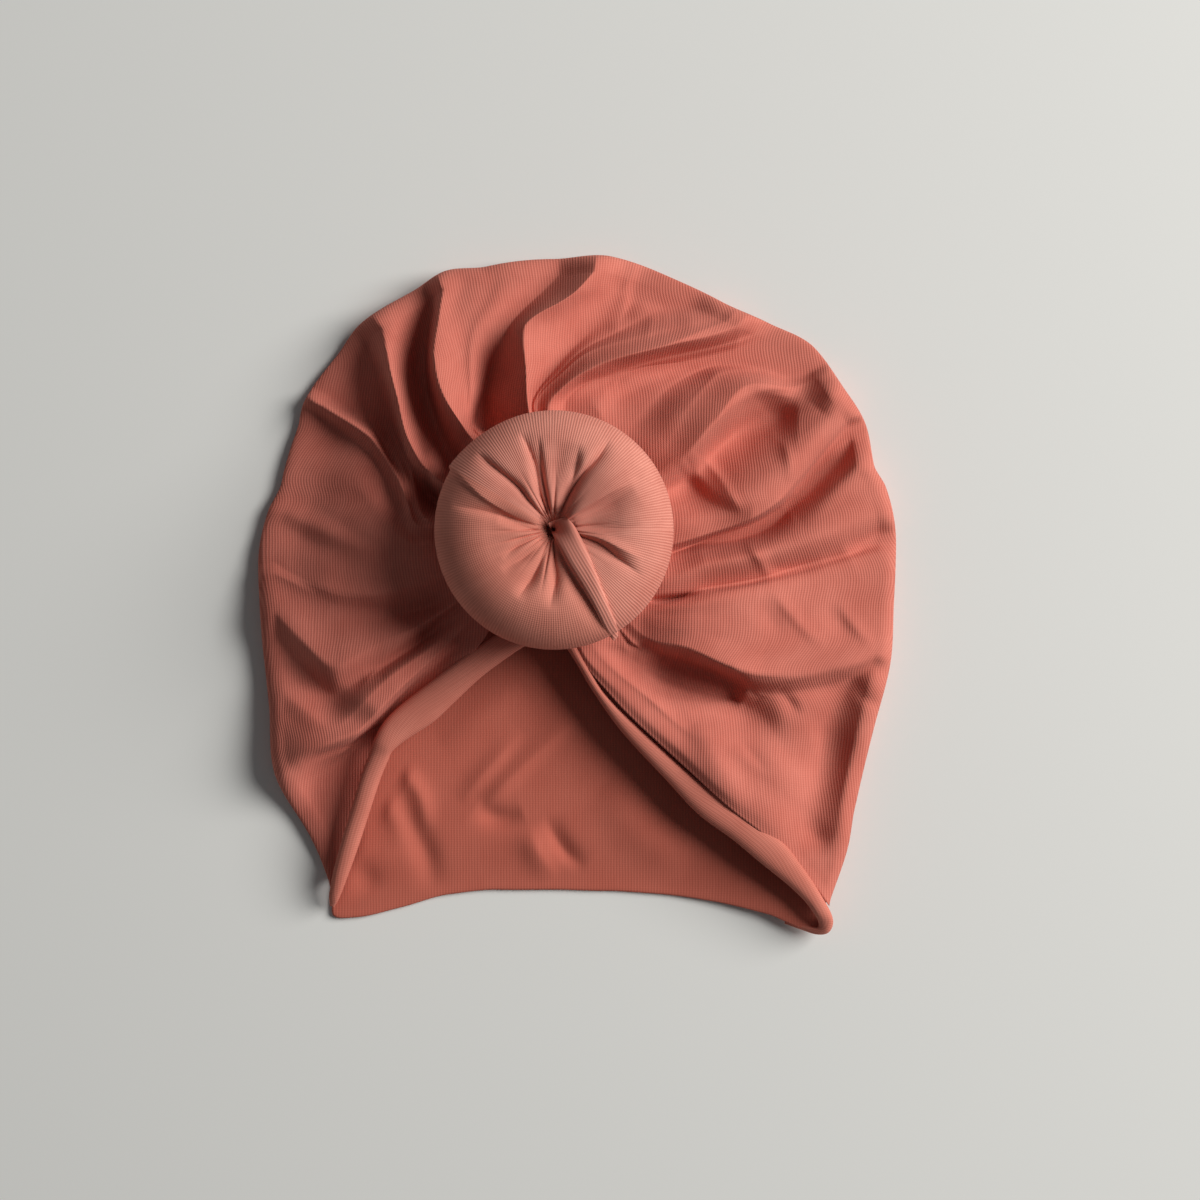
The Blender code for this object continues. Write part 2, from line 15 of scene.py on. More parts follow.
import bpy
import numpy as np
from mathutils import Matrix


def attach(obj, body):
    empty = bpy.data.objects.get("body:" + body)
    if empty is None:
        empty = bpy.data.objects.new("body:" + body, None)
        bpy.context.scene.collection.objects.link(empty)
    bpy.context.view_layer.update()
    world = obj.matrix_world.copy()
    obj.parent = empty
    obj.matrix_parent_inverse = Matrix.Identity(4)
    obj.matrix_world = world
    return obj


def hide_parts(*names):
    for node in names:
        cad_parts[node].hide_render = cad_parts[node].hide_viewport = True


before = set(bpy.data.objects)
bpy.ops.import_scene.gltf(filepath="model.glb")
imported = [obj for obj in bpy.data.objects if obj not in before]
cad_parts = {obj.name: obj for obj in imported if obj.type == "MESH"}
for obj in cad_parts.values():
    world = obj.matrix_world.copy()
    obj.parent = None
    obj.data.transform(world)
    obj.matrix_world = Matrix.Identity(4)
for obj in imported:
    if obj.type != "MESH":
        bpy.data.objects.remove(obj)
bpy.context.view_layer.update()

log = logging.getLogger("turban")

MM = 0.001
BODY = "root"
UV_NAME = "cloth"

# Outline of the cap about the knot: bearing, and reach as a share of the cap's length
Reach = namedtuple("Reach", "bearing reach")
OUTLINE = (
    Reach(0, 0.505), Reach(7.4, 0.495), Reach(11.7, 0.483), Reach(18.5, 0.487), Reach(27, 0.477),
    Reach(35, 0.471), Reach(44, 0.442), Reach(54, 0.420), Reach(66, 0.413), Reach(78, 0.415),
    Reach(90, 0.402), Reach(104, 0.403), Reach(113, 0.416), Reach(120, 0.410), Reach(133, 0.417),
    Reach(141, 0.410), Reach(152, 0.413), Reach(159, 0.405), Reach(170, 0.406), Reach(176, 0.420),
    Reach(184, 0.434), Reach(193, 0.444), Reach(204, 0.466), Reach(212, 0.493), Reach(222, 0.549),
    Reach(231, 0.575), Reach(238, 0.620), Reach(240.6, 0.661), Reach(243, 0.648), Reach(248, 0.607),
    Reach(254, 0.565), Reach(261.5, 0.542), Reach(270, 0.536), Reach(278, 0.543), Reach(286, 0.564),
    Reach(293, 0.600), Reach(299, 0.652), Reach(303.6, 0.713), Reach(307, 0.682), Reach(313, 0.639),
    Reach(317, 0.608), Reach(324, 0.572), Reach(330, 0.552), Reach(338.5, 0.535), Reach(348, 0.514),
    Reach(354, 0.508),
)

# Fold lines of the front panel, counter-clockwise from the right hem to the left one. Bearings and
# rises stand at FOLD_SHARES of the outline's reach, and a rise is a share of the full fold height.
# A crisp of 0 rounds the line over and 1 creases it.
FOLD_SHARES = (0.30, 0.45, 0.60, 0.75, 0.88, 1.00)
Fold = namedtuple("Fold", "name bearing rise crisp")
FOLDS = (
    Fold("right_hem", (-79.5, -70.8, -61.9, -56.0, -54.1, -53.8), (-0.1, 0.0, 0.12, 0.22, 0.2, 0.1), 0.0),
    Fold("right_roll", (-77, -66.8, -58.6, -54.0, -52.6, -52.3), (0.0, 0.06, 0.22, 0.28, 0.18, 0.05), 0.0),
    Fold("right_flare", (-72, -60, -52.5, -49.4, -48, -47), (0.0, 0.0, 0.15, 0.15, 0.05, 0.0), 0.0),
    Fold("pocket", (-60, -50, -43.5, -41, -38, -36), (-0.1, -0.6, -0.6, 0.0, -0.3, 0.0), 0.0),
    Fold("g_foot", (-54, -45, -41, -35, -29.5, -25), (-0.05, -0.35, -0.35, 0.1, 0.05, 0.05), 0.0),
    Fold("g_ridge", (-50, -41, -37, -31, -24.5, -19.5), (0.05, 0.35, 0.5, 0.35, 0.28, 0.15), 0.7),
    Fold("g_panel", (-42, -31, -25, -18, -13, -10), (0.1, 0.5, 0.42, 0.2, 0.05, 0.0), 0.0),
    Fold("g_edge", (-37.5, -23, -15.2, -9, -5.4, -3), (0.1, 0.6, 0.4, 0.1, 0.0, 0.0), 1.0),
    Fold("g_slit", (-35.5, -21.2, -13.6, -7.5, -4, -1.5), (-0.1, -0.1, -0.1, -0.2, -0.2, -0.1), 0.7),
    Fold("f_panel", (-26, -13, -7, -2, 2, 5), (0.05, 0.25, 0.35, 0.35, 0.25, 0.1), 0.0),
    Fold("e_slit", (-12, -3.5, 2.4, 9.2, 16, 20.6), (-0.1, -0.7, -0.9, -0.65, -0.6, 0.1), 0.6),
    Fold("e_edge", (-9.5, -1.5, 4, 11, 18, 22.4), (0.0, 0.15, 0.35, 0.3, 0.2, 0.3), 0.8),
    Fold("e_panel", (0, 5, 9, 15.5, 21.2, 24.6), (0.05, 0.3, 0.45, 0.4, 0.3, 0.3), 0.0),
    Fold("d_valley", (17, 20, 26.5, 29, 25.6, 27.2), (-0.05, -0.35, -0.35, -0.35, 0.1, 0.3), 0.0),
    Fold("d_crest", (22, 28, 33.5, 37, 30.6, 29.6), (0.05, 0.4, 0.65, 0.4, 0.0, 0.2), 0.8),
    Fold("d_pit", (32, 37, 42, 43.4, 34.6, 32.6), (0.0, 0.35, 0.5, 0.15, -0.6, 0.0), 0.0),
    Fold("c_panel", (52, 53, 52, 47.5, 40, 36), (0.0, 0.1, 0.1, -0.3, -0.6, -0.15), 0.0),
    Fold("c_facet", (70, 67.5, 66, 52.3, 43.2, 39.5), (0.0, 0.05, -0.3, -0.6, -0.6, -0.15), 1.0),
    Fold("c_foot", (84, 84, 69, 55.4, 46.6, 42.5), (0.0, -0.15, -0.35, -0.4, -0.3, -0.05), 0.0),
    Fold("c_crest", (93, 92, 76, 60.5, 51, 46), (0.05, 0.2, 0.5, 0.6, 0.45, 0.15), 0.3),
    Fold("c_back", (97, 97.2, 84, 67, 56, 49.5), (0.0, 0.0, 0.15, 0.25, 0.2, 0.1), 0.3),
    Fold("top_panel", (98.4, 98.5, 86, 72, 65, 62), (0.0, 0.0, -0.05, -0.25, -0.3, -0.1), 0.0),
    Fold("b_foot", (99.7, 99.8, 89, 78, 73.5, 72), (0.0, -0.05, -0.2, -0.4, -0.45, -0.15), 0.0),
    Fold("b_crest", (101.5, 101.2, 99.6, 98.2, 84, 78.6), (0.05, 0.35, 0.5, 0.65, 0.55, 0.2), 0.8),
    Fold("a_valley", (118, 124, 112, 103.4, 92.5, 85), (-0.1, -1.1, -0.75, -0.2, -0.3, -0.1), 0.5),
    Fold("a_slope", (124, 128, 120, 113, 105, 99), (0.0, 0.0, 0.2, 0.25, 0.15, 0.05), 0.0),
    Fold("a_crest", (133, 131, 129.3, 124.6, 117.6, 111.5), (0.1, 0.7, 0.85, 0.8, 0.65, 0.25), 0.8),
    Fold("a_lee", (150, 144, 135.5, 127.6, 120.8, 115), (-0.1, -0.8, -0.8, -0.7, -0.4, 0.0), 0.0),
    Fold("h_crest", (158, 156, 148.5, 138.6, 132.2, 128), (0.05, 0.35, 0.55, 0.6, 0.5, 0.2), 0.7),
    Fold("h_lee", (167, 166, 153, 143.5, 137, 133.5), (-0.1, -0.8, -0.55, -0.6, -0.4, -0.1), 0.0),
    Fold("h_under", (176.5, 176.8, 158, 150, 149, 148.5), (0.0, 0.0, -0.25, -0.4, -0.6, -0.3), 0.2),
    Fold("i_crest", (180, 179, 161, 152.4, 151.8, 151.4), (-0.1, 0.15, 0.1, 0.1, 0.0, -0.1), 0.4),
    Fold("i_lee", (184, 183, 167, 157, 155, 154), (-0.1, 0.1, -0.2, -0.4, -0.55, -0.4), 0.0),
    Fold("left_panel", (188, 187, 177, 168, 166, 164), (0.0, 0.25, 0.05, -0.25, -0.42, -0.4), 0.0),
    Fold("left_crease", (191, 190, 183, 177, 173, 171), (0.0, 0.25, 0.1, -0.2, -0.42, -0.4), 0.0),
    Fold("left_ridge", (194, 193, 187.5, 181.5, 177.5, 175.5), (0.0, 0.2, 0.1, -0.12, -0.36, -0.35), 0.0),
    Fold("j_crest", (200, 200, 199.5, 195, 189.5, 184), (0.05, 0.15, 0.1, 0.1, -0.15, -0.2), 0.4),
    Fold("j_lee", (212, 211, 205, 199, 192, 187), (-0.1, -0.4, -0.15, 0.0, 0.0, 0.0), 0.0),
    Fold("n_crest", (217, 216, 213.5, 212.5, 202.5, 191.5), (0.0, -0.1, 0.1, 0.35, 0.3, 0.1), 0.3),
    Fold("k_crease", (220, 219.4, 218.4, 217.5, 208.5, 197), (-0.1, -0.45, -0.1, -0.1, -0.15, 0.0), 0.2),
    Fold("l_crest", (225, 224.3, 222.5, 223, 219, 216), (0.05, -0.1, 0.3, 0.35, 0.3, 0.1), 0.0),
    Fold("l_edge", (228, 227.2, 226.2, 226.4, 223, 221.7), (0.05, -0.1, 0.3, 0.4, 0.35, 0.15), 1.0),
    Fold("m_valley", (232, 229.5, 228.4, 229, 229.5, 230), (-0.05, -0.4, -0.45, -0.7, -0.7, -0.2), 0.0),
    Fold("left_hem", (238, 234, 231.5, 232.5, 236.2, 239.2), (0.0, -0.2, -0.3, -0.5, -0.6, -0.4), 0.0),
)

# A crease of the front panel runs through points of across, down and rise. Across and down are read
# off the 1200 x 1200 photo in its own steps, and the rise is in mm. Its sides reach left and right mm
# out from its line, seen along it. A sharp of 0 rounds it over, 1 brings it to an edge and -1 gives it
# a flat bottom with steep sides.
Crease = namedtuple("Crease", "name line left right sharp")
FRONT_CREASES = (
    Crease("b_side_hollow", ((643, 276, 0), (636, 295, -1.3), (626, 312, -1.1), (617, 328, 0)),
        2.2, 2.2, 0.3),
    Crease("b_side_ridge", ((622, 262, 0), (628, 290, 0.8), (620, 318, 0.6), (612, 335, 0)),
        2.0, 2.5, 0.3),
    Crease("a_top_shade", ((474, 262, 0), (461, 284, -1.8), (450, 308, -2.0), (441, 336, 0)),
        4.0, 4.5, 0.0),
    Crease("b_tail", ((512, 325, 0), (519, 338, 1.2), (525, 358, 1.4), (528, 385, 1.2), (530, 408, 0.6),
        (531, 420, 0)), 3.0, 1.4, 0.4),
    Crease("a_hole", ((488, 396, 0), (480, 410, -3.0), (474, 424, -5.0), (470, 436, -4.0)), 2.0, 2.0, 0.2),

    Crease("top_hollow", ((630, 280, 0), (646, 293, -3.6), (668, 301, -5.0), (692, 307, -4.6),
        (712, 314, -2.6), (740, 318, 0)), 5.0, 3.5, 0.0),
    Crease("top_nick", ((664, 318, 0), (676, 323, -0.8), (690, 324, 0)), 2.0, 2.0, 0.2),
    Crease("top_streak", ((656, 310, 0), (651, 325, 0.7), (645, 342, 0)), 1.5, 1.8, 0.3),
    Crease("c_crest", ((762, 311, 0), (735, 319, 1.4), (709, 328, 2.0), (664, 347, 2.4), (612, 371, 2.2),
        (577, 391, 1.0), (562, 402, 0)), 1.8, 6.0, 0.5),
    Crease("c_shade", ((790, 352, 0), (765, 357, -3.0), (730, 364, -3.6), (690, 374, -4.0),
        (650, 386, -4.2), (622, 400, -2.8), (600, 414, 0)), 7.0, 4.0, 0.0),
    Crease("d_crest", ((664, 474, 0), (695, 444, 1.8), (713, 423, 2.4), (740, 400, 2.6), (768, 389, 2.2),
        (792, 390, 1.2), (806, 398, 0)), 8.0, 2.0, 0.5),
    Crease("d_hollow", ((694, 470, 0), (720, 446, -3.2), (748, 430, -5.5), (776, 420, -5.0),
        (798, 420, 0)), 3.6, 6.5, 0.1),
    Crease("corner_hollow", ((738, 334, 0), (768, 338, -3.2), (794, 340, -5.0), (808, 352, -5.2),
        (804, 376, -4.2), (786, 402, -1.5), (770, 420, 0)), 4.5, 6.5, 0.0),
    Crease("corner_ridge", ((796, 302, 0), (818, 318, 4.0), (836, 340, 6.6), (842, 364, 6.4),
        (836, 388, 4.2), (818, 408, 0)), 3.6, 3.4, 0.1),
    Crease("rim_pit", ((862, 400, 0), (854, 420, -3.4), (838, 443, -5.0), (820, 466, -5.2),
        (802, 488, -3.8), (782, 506, 0)), 4.0, 2.4, 0.0),
    Crease("rim_ridge", ((880, 410, 0), (876, 436, 2.6), (862, 460, 3.6), (842, 482, 3.4), (818, 502, 2.0),
        (796, 516, 0)), 3.4, 3.0, 0.1),
    Crease("e_tick", ((768, 430, 0), (784, 446, 0.9), (790, 466, 0.7), (786, 482, 0)), 2.0, 2.0, 0.4),
    Crease("e_arc", ((688, 450, 0), (704, 460, 1.0), (720, 478, 1.2), (734, 500, 0.8), (744, 516, 0)),
        1.5, 2.0, 0.5),
    Crease("e_shade", ((672, 462, 0), (688, 482, -3.2), (706, 500, -3.6), (730, 512, -2.0), (752, 514, 0)),
        2.5, 7.0, 0.1),
    Crease("e_fine_a", ((683, 455, 0), (690, 465, -0.8), (694, 476, 0)), 1.0, 1.0, 0.5),
    Crease("e_fine_b", ((694, 448, 0), (701, 457, -0.8), (706, 468, 0)), 1.0, 1.0, 0.5),
    Crease("e_slit", ((660, 557, -3.0), (690, 546, -6.0), (720, 536, -7.5), (750, 527, -7.5),
        (778, 514, -5.5), (800, 495, -2.5), (816, 479, 0)), 0.7, 2.2, 0.6),
    Crease("e_slit_mouth", ((700, 550, 0), (722, 542, -3.0), (746, 534, -5.0), (768, 524, -4.5),
        (788, 510, 0)), 1.4, 2.8, 0.2),
    Crease("f_ridge", ((744, 536, 0), (752, 550, 0.9), (761, 563, 1.1), (773, 584, 0)), 2.5, 1.4, 0.5),
    Crease("f_hollow", ((764, 562, 0), (780, 569, -1.1), (800, 567, -1.1), (822, 562, 0)), 2.5, 1.8, 0.3),
    Crease("f_rim_pit", ((846, 552, 0), (864, 542, -2.6), (880, 533, -3.2), (893, 522, 0)), 2.6, 4.5, 0.1),

    Crease("g_slit", ((640, 602, -2.0), (660, 599, -4.5), (690, 596, -4.0), (720, 590, -2.6),
        (768, 580, -2.0), (803, 570, -2.0), (845, 557, -1.2), (868, 549, 0)), 0.7, 1.7, 0.5),
    Crease("g_streak_a", ((770, 590, 0), (788, 612, 0.8), (806, 632, 0.8), (826, 648, 0)), 2.5, 1.2, 0.4),
    Crease("g_shade_a", ((756, 598, 0), (770, 618, -0.9), (786, 638, 0)), 3.0, 3.0, 0.1),
    Crease("g_streak_b", ((836, 602, 0), (850, 622, 0.8), (864, 638, 0.6), (876, 646, 0)), 2.2, 1.2, 0.4),
    Crease("g_shade_b", ((824, 604, 0), (838, 624, -0.9), (854, 642, 0)), 3.0, 3.0, 0.1),
    Crease("g_lip", ((643, 640, 0), (664, 645, 1.0), (681, 648, 1.8), (699, 654, 2.2), (716, 662, 2.6),
        (733, 668, 2.8), (745, 678, 2.6), (760, 683, 1.6), (782, 681, 1.2), (812, 676, 1.2),
        (842, 669, 1.2), (870, 659, 1.0), (889, 652, 0)), 6.0, 1.2, 0.7),
    Crease("pocket", ((646, 652, -3.0), (666, 663, -6.0), (690, 671, -8.0), (714, 678, -8.5),
        (733, 685, -7.0), (746, 690, -1.0)), 3.0, 5.2, -0.6),
    Crease("pocket_lip", ((648, 692, 0), (668, 699, 0.8), (696, 703, 1.0), (722, 703, 1.0),
        (742, 699, 0.9), (758, 690, 0)), 1.6, 3.2, 0.5),
    Crease("under_g", ((750, 695, 0), (775, 693, -1.4), (806, 690, -1.4), (838, 683, -1.3),
        (866, 671, -0.9), (886, 661, 0)), 1.5, 5.0, 0.3),
    Crease("low_triangle", ((776, 688, 0), (790, 702, -1.3), (801, 718, 0)), 1.4, 3.0, 0.3),
    Crease("rim_v_upper", ((889, 656, 0), (868, 666, -1.3), (852, 680, -1.3), (842, 702, 0)),
        2.5, 2.5, 0.3),
    Crease("rim_v_lower", ((850, 682, 0), (862, 694, -1.0), (874, 710, -1.1), (881, 726, 0)),
        2.5, 1.5, 0.3),
    Crease("low_rim", ((888, 662, 0), (882, 690, 3.6), (876, 720, 3.8), (869, 760, 4.2), (861, 800, 4.2),
        (851, 840, 2.6), (840, 872, 0)), 3.0, 7.0, 0.0),
    Crease("low_dark_a", ((850, 672, 0), (842, 700, -3.0), (834, 730, -2.6), (829, 756, -3.2),
        (820, 782, -3.2), (811, 808, -3.0), (806, 836, -2.0), (806, 862, 0)), 7.0, 6.0, 0.0),
    Crease("low_dark_c", ((800, 822, 0), (816, 836, -1.2), (832, 842, 0)), 3.0, 3.0, 0.2),
    Crease("low_swell", ((688, 728, 0), (706, 750, 1.8), (720, 770, 2.0), (734, 792, 1.2), (746, 808, 0)),
        4.0, 5.0, 0.0),
    Crease("low_trough", ((752, 700, 0), (768, 724, -1.1), (784, 748, -1.1), (800, 776, 0)),
        4.0, 4.0, 0.1),
    Crease("low_ridge", ((800, 714, 0), (812, 740, 0.9), (818, 768, 0)), 3.0, 3.0, 0.2),
    Crease("low_scratch", ((736, 736, 0), (752, 754, -0.7), (769, 774, 0)), 2.0, 1.5, 0.4),
    Crease("i_crest", ((300, 392, 0), (322, 404, 0.8), (344, 414, 1.2), (372, 432, 1.2), (390, 444, 0.7),
        (398, 454, 0)), 1.6, 3.0, 0.5),
    Crease("h_curl", ((398, 430, 0), (407, 455, 2.2), (414, 482, 3.2), (419, 506, 3.4), (428, 520, 3.0),
        (442, 524, 2.0)), 1.3, 1.6, 0.5),
    Crease("h_curl_shade", ((376, 412, 0), (386, 445, -2.2), (392, 478, -2.8), (399, 508, -2.2),
        (410, 536, 0)), 2.4, 6.0, 0.0),
    Crease("h_curl_dark", ((420, 428, 0), (425, 455, -2.6), (428, 482, -3.4), (436, 503, -3.6),
        (448, 510, -3.0)), 1.6, 2.0, 0.1),
    Crease("h_lee", ((332, 330, 0), (350, 362, -2.0), (368, 394, -2.4), (386, 426, -2.0), (398, 456, 0)),
        5.0, 4.0, 0.0),
    Crease("left_ridge", ((264, 502, 0), (290, 516, 0.9), (318, 530, 1.0), (350, 545, 0.6), (382, 553, 0)),
        3.0, 3.0, 0.2),
    Crease("left_hollow", ((268, 520, 0), (300, 536, -1.0), (330, 549, -0.9), (362, 558, 0)),
        3.0, 4.0, 0.1),
    Crease("j_crest", ((270, 566, 0), (295, 577, 0.7), (318, 588, 0.9), (350, 597, 0.9), (400, 592, 0.9),
        (440, 580, 0.7), (456, 571, 0)), 2.6, 3.0, 0.3),
    Crease("j_lee", ((328, 612, 0), (370, 618, -1.2), (410, 612, -2.0), (440, 606, -2.2),
        (460, 604, -1.0)), 3.0, 4.5, 0.1),
    Crease("k_ridge", ((472, 605, 0), (450, 618, 1.0), (424, 631, 1.4), (400, 645, 1.5), (382, 662, 1.2),
        (366, 682, 0.8), (356, 695, 0)), 2.5, 2.0, 0.4),
    Crease("n_crest", ((261, 620, 0), (280, 640, 0.6), (300, 658, 1.0), (335, 680, 1.4), (362, 698, 1.4),
        (380, 712, 0.8), (391, 721, 0)), 7.0, 3.4, 0.15),
    Crease("n_lee", ((262, 640, 0), (280, 668, -0.8), (306, 692, -1.3), (336, 712, -1.4), (362, 727, -1.2),
        (384, 735, 0)), 4.0, 6.0, 0.0),
    Crease("m_fold", ((276, 690, 0), (292, 700, 0.7), (312, 716, 0.6), (330, 731, 0)), 2.0, 3.0, 0.3),
    Crease("m_hollow", ((272, 701, 0), (290, 716, -0.6), (310, 731, 0)), 3.0, 3.0, 0.1),
    Crease("l_lip", ((280, 762, 0), (300, 752, 1.2), (325, 744, 1.7), (352, 734, 1.6), (373, 723, 0)),
        6.0, 1.5, 0.4),
    Crease("l_wedge", ((290, 772, 0), (312, 766, -1.6), (336, 756, -2.6), (360, 746, -2.8),
        (380, 734, -1.5)), 1.6, 7.0, 0.0),
    Crease("l_line", ((300, 764, 0), (316, 756, -2.2), (334, 749, -3.6), (352, 742, -4.4),
        (368, 734, -4.4), (381, 726, -3.0)), 0.9, 1.2, -0.4),
    Crease("k_valley", ((474, 608, 0), (455, 621, -2.0), (434, 634, -2.8), (410, 650, -2.8),
        (388, 665, -2.2), (368, 679, 0)), 1.6, 2.4, 0.2),
)

# Creases of the back panel, read off the photo in the same way
BACK_CREASES = (
    Crease("slant", ((482, 804, 0), (505, 784, 1.5), (535, 756, 1.3), (560, 734, 0.9), (580, 716, 0)),
        3.5, 2.0, 0.2),
    Crease("slant_low", ((460, 802, 0), (478, 780, 1.1), (500, 756, 1.1), (522, 732, 0)), 3.0, 2.0, 0.2),
    Crease("blotch", ((476, 806, 0), (490, 816, -1.6), (506, 818, -1.3), (522, 812, 0)), 3.0, 3.0, 0.1),
    Crease("curl", ((546, 816, 0), (554, 836, -1.3), (566, 854, -1.5), (586, 868, 0)), 3.0, 2.0, 0.2),
    Crease("curl_lit", ((528, 826, 0), (534, 846, 1.3), (544, 864, 1.0), (556, 880, 0)), 2.5, 4.0, 0.1),
    Crease("left_s", ((388, 756, 0), (404, 774, 1.2), (418, 792, 1.4), (424, 812, 1.0), (426, 832, 0)),
        2.5, 3.0, 0.2),
    Crease("left_dark", ((396, 798, 0), (410, 826, -1.2), (424, 852, -1.7), (430, 876, -0.9),
        (434, 892, 0)), 3.5, 3.5, 0.1),
    Crease("left_knob", ((374, 796, 0), (390, 810, 1.3), (400, 830, 0.8), (404, 848, 0)), 3.0, 3.0, 0.0),
    Crease("corner_dark", ((352, 858, 0), (364, 878, -1.2), (374, 896, 0)), 4.0, 4.0, 0.0),
    Crease("under_hem", ((440, 742, 0), (470, 722, 0.9), (500, 706, 0.8), (524, 692, 0)), 4.0, 4.0, 0.0),
    Crease("right_swell", ((600, 790, 0), (626, 816, 1.2), (660, 846, 1.0), (690, 868, 0)), 6.0, 6.0, 0.0),
)

# Creases of the knot's cover, through points of bearing, share of the knot's radius and rise in mm
KNOT_CREASES = (
    Crease("pleat_137", ((136, 0.04, -1.6), (131, 0.30, -2.3), (130, 0.46, -2.3), (134, 0.74, -1.8),
        (135, 0.88, 0.0)), 2.4, 1.0, 0.9),
    Crease("pleat_108", ((112, 0.06, -1.8), (110, 0.30, -2.5), (106, 0.52, -2.5), (107, 0.70, -1.7),
        (109, 0.84, 0.0)), 1.2, 2.2, 0.9),
    Crease("pleat_101", ((104, 0.12, -1.0), (102, 0.36, -1.6), (100, 0.60, -1.2), (99, 0.78, 0.0)),
        2.0, 0.8, 0.6),
    Crease("hollow_84", ((84, 0.16, -0.7), (84, 0.40, -1.8), (84, 0.58, -1.4), (84, 0.74, 0.0)),
        3.5, 3.5, 0.0),
    Crease("pleat_70", ((74, 0.10, -1.3), (68, 0.36, -2.1), (70, 0.56, -2.0), (73, 0.72, 0.0)),
        2.2, 1.4, 0.5),
    Crease("pleat_58", ((64, 0.06, -2.5), (65, 0.30, -3.5), (62, 0.50, -3.5), (58, 0.70, -2.5),
        (57.5, 0.87, 0.0)), 1.4, 2.4, 0.9),
    Crease("petal", ((33, 0.10, 1.0), (33, 0.30, 1.8), (32, 0.54, 1.6), (30, 0.80, 0.0)), 6.0, 0.8, 0.8),
    Crease("petal_shade", ((20, 0.16, -1.7), (22, 0.34, -2.8), (24, 0.54, -2.2), (26, 0.74, 0.0)),
        2.4, 5.0, 0.3),
    Crease("line_0", ((4, 0.14, -0.8), (0, 0.32, -1.4), (0, 0.52, -1.0), (3, 0.72, 0.0)), 2.4, 1.2, 0.7),
    Crease("fold_20", ((-8, 0.16, 0.8), (-12, 0.38, 1.6), (-17, 0.60, 1.2), (-19, 0.78, 0.0)),
        1.6, 1.4, 0.4),
    Crease("pleat_24", ((-14, 0.16, -1.6), (-18, 0.40, -2.5), (-24.5, 0.59, -2.1), (-28, 0.83, 0.0)),
        1.4, 2.2, 0.9),
    Crease("pleat_100", ((-88, 0.16, -1.0), (-86, 0.38, -2.1), (-90, 0.52, -1.4), (-92, 0.66, 0.0)),
        2.0, 2.0, 0.6),
    Crease("pleat_72", ((-74, 0.18, -1.3), (-68, 0.40, -2.3), (-64, 0.60, -2.3), (-62, 0.80, -1.6),
        (-61, 0.94, 0.0)), 1.0, 3.0, 0.8),
    Crease("pleat_248", ((256, 0.12, -1.0), (248, 0.39, -2.1), (245, 0.52, -1.6), (243, 0.64, 0.0)),
        1.8, 2.2, 0.6),
    Crease("pleat_226", ((236, 0.08, -0.8), (226, 0.30, -1.6), (222, 0.42, -1.0), (220, 0.54, 0.0)),
        1.4, 1.8, 0.5),
    Crease("pleat_205", ((208, 0.08, -0.7), (204, 0.26, -1.4), (208, 0.38, -0.8), (212, 0.48, 0.0)),
        1.2, 1.6, 0.4),
    Crease("pleat_178", ((186, 0.08, -0.8), (176, 0.24, -1.6), (172, 0.36, -1.0), (170, 0.46, 0.0)),
        1.2, 1.8, 0.4),
    Crease("pleat_166", ((172, 0.10, -0.8), (166, 0.32, -1.8), (165, 0.50, -1.8), (166, 0.66, -1.3),
        (167, 0.86, 0.0)), 1.4, 2.4, 0.7),
    Crease("seam_step", ((163, 0.12, 0.3), (163, 0.31, 0.8), (157, 0.585, 1.0), (153, 0.75, 1.0),
        (150, 0.90, 0.9), (148.5, 1.04, 0.8)), 0.5, 9.0, 0.5),
)

# Rows of the rolled hems in mm, from under the knot down to the corner. Each gives the edge beside the
# panel, the edge beside the mouth, the height of its top and its thickness.
HemRow = namedtuple("HemRow", "outer_x outer_y inner_x inner_y top thick")
LEFT_HEM = (
    HemRow(-16.0, -7.0, -8.0, -11.0, 17.2, 5.0),
    HemRow(-21.3, -10.5, -14.4, -14.5, 17.0, 5.0),
    HemRow(-26.4, -13.6, -20.5, -18.6, 16.6, 5.0),
    HemRow(-32.2, -18.0, -27.0, -23.6, 16.2, 5.2),
    HemRow(-40.3, -24.2, -34.0, -30.2, 15.6, 5.4),
    HemRow(-47.3, -29.6, -39.6, -35.4, 15.2, 5.4),
    HemRow(-52.6, -34.6, -46.6, -40.0, 15.0, 5.0),
    HemRow(-55.6, -39.6, -50.6, -43.2, 14.8, 5.0),
    HemRow(-57.2, -44.2, -52.0, -46.0, 13.6, 4.8),
    HemRow(-59.4, -49.8, -54.2, -51.4, 12.6, 4.8),
    HemRow(-62.4, -59.8, -57.2, -60.6, 11.6, 5.0),
    HemRow(-65.2, -69.2, -60.2, -69.8, 10.6, 5.0),
    HemRow(-67.3, -77.4, -63.2, -78.2, 9.0, 4.6),
    HemRow(-68.2, -83.2, -65.4, -83.8, 6.8, 3.6),
    HemRow(-68.0, -86.0, -66.8, -86.2, 4.2, 1.6),
)
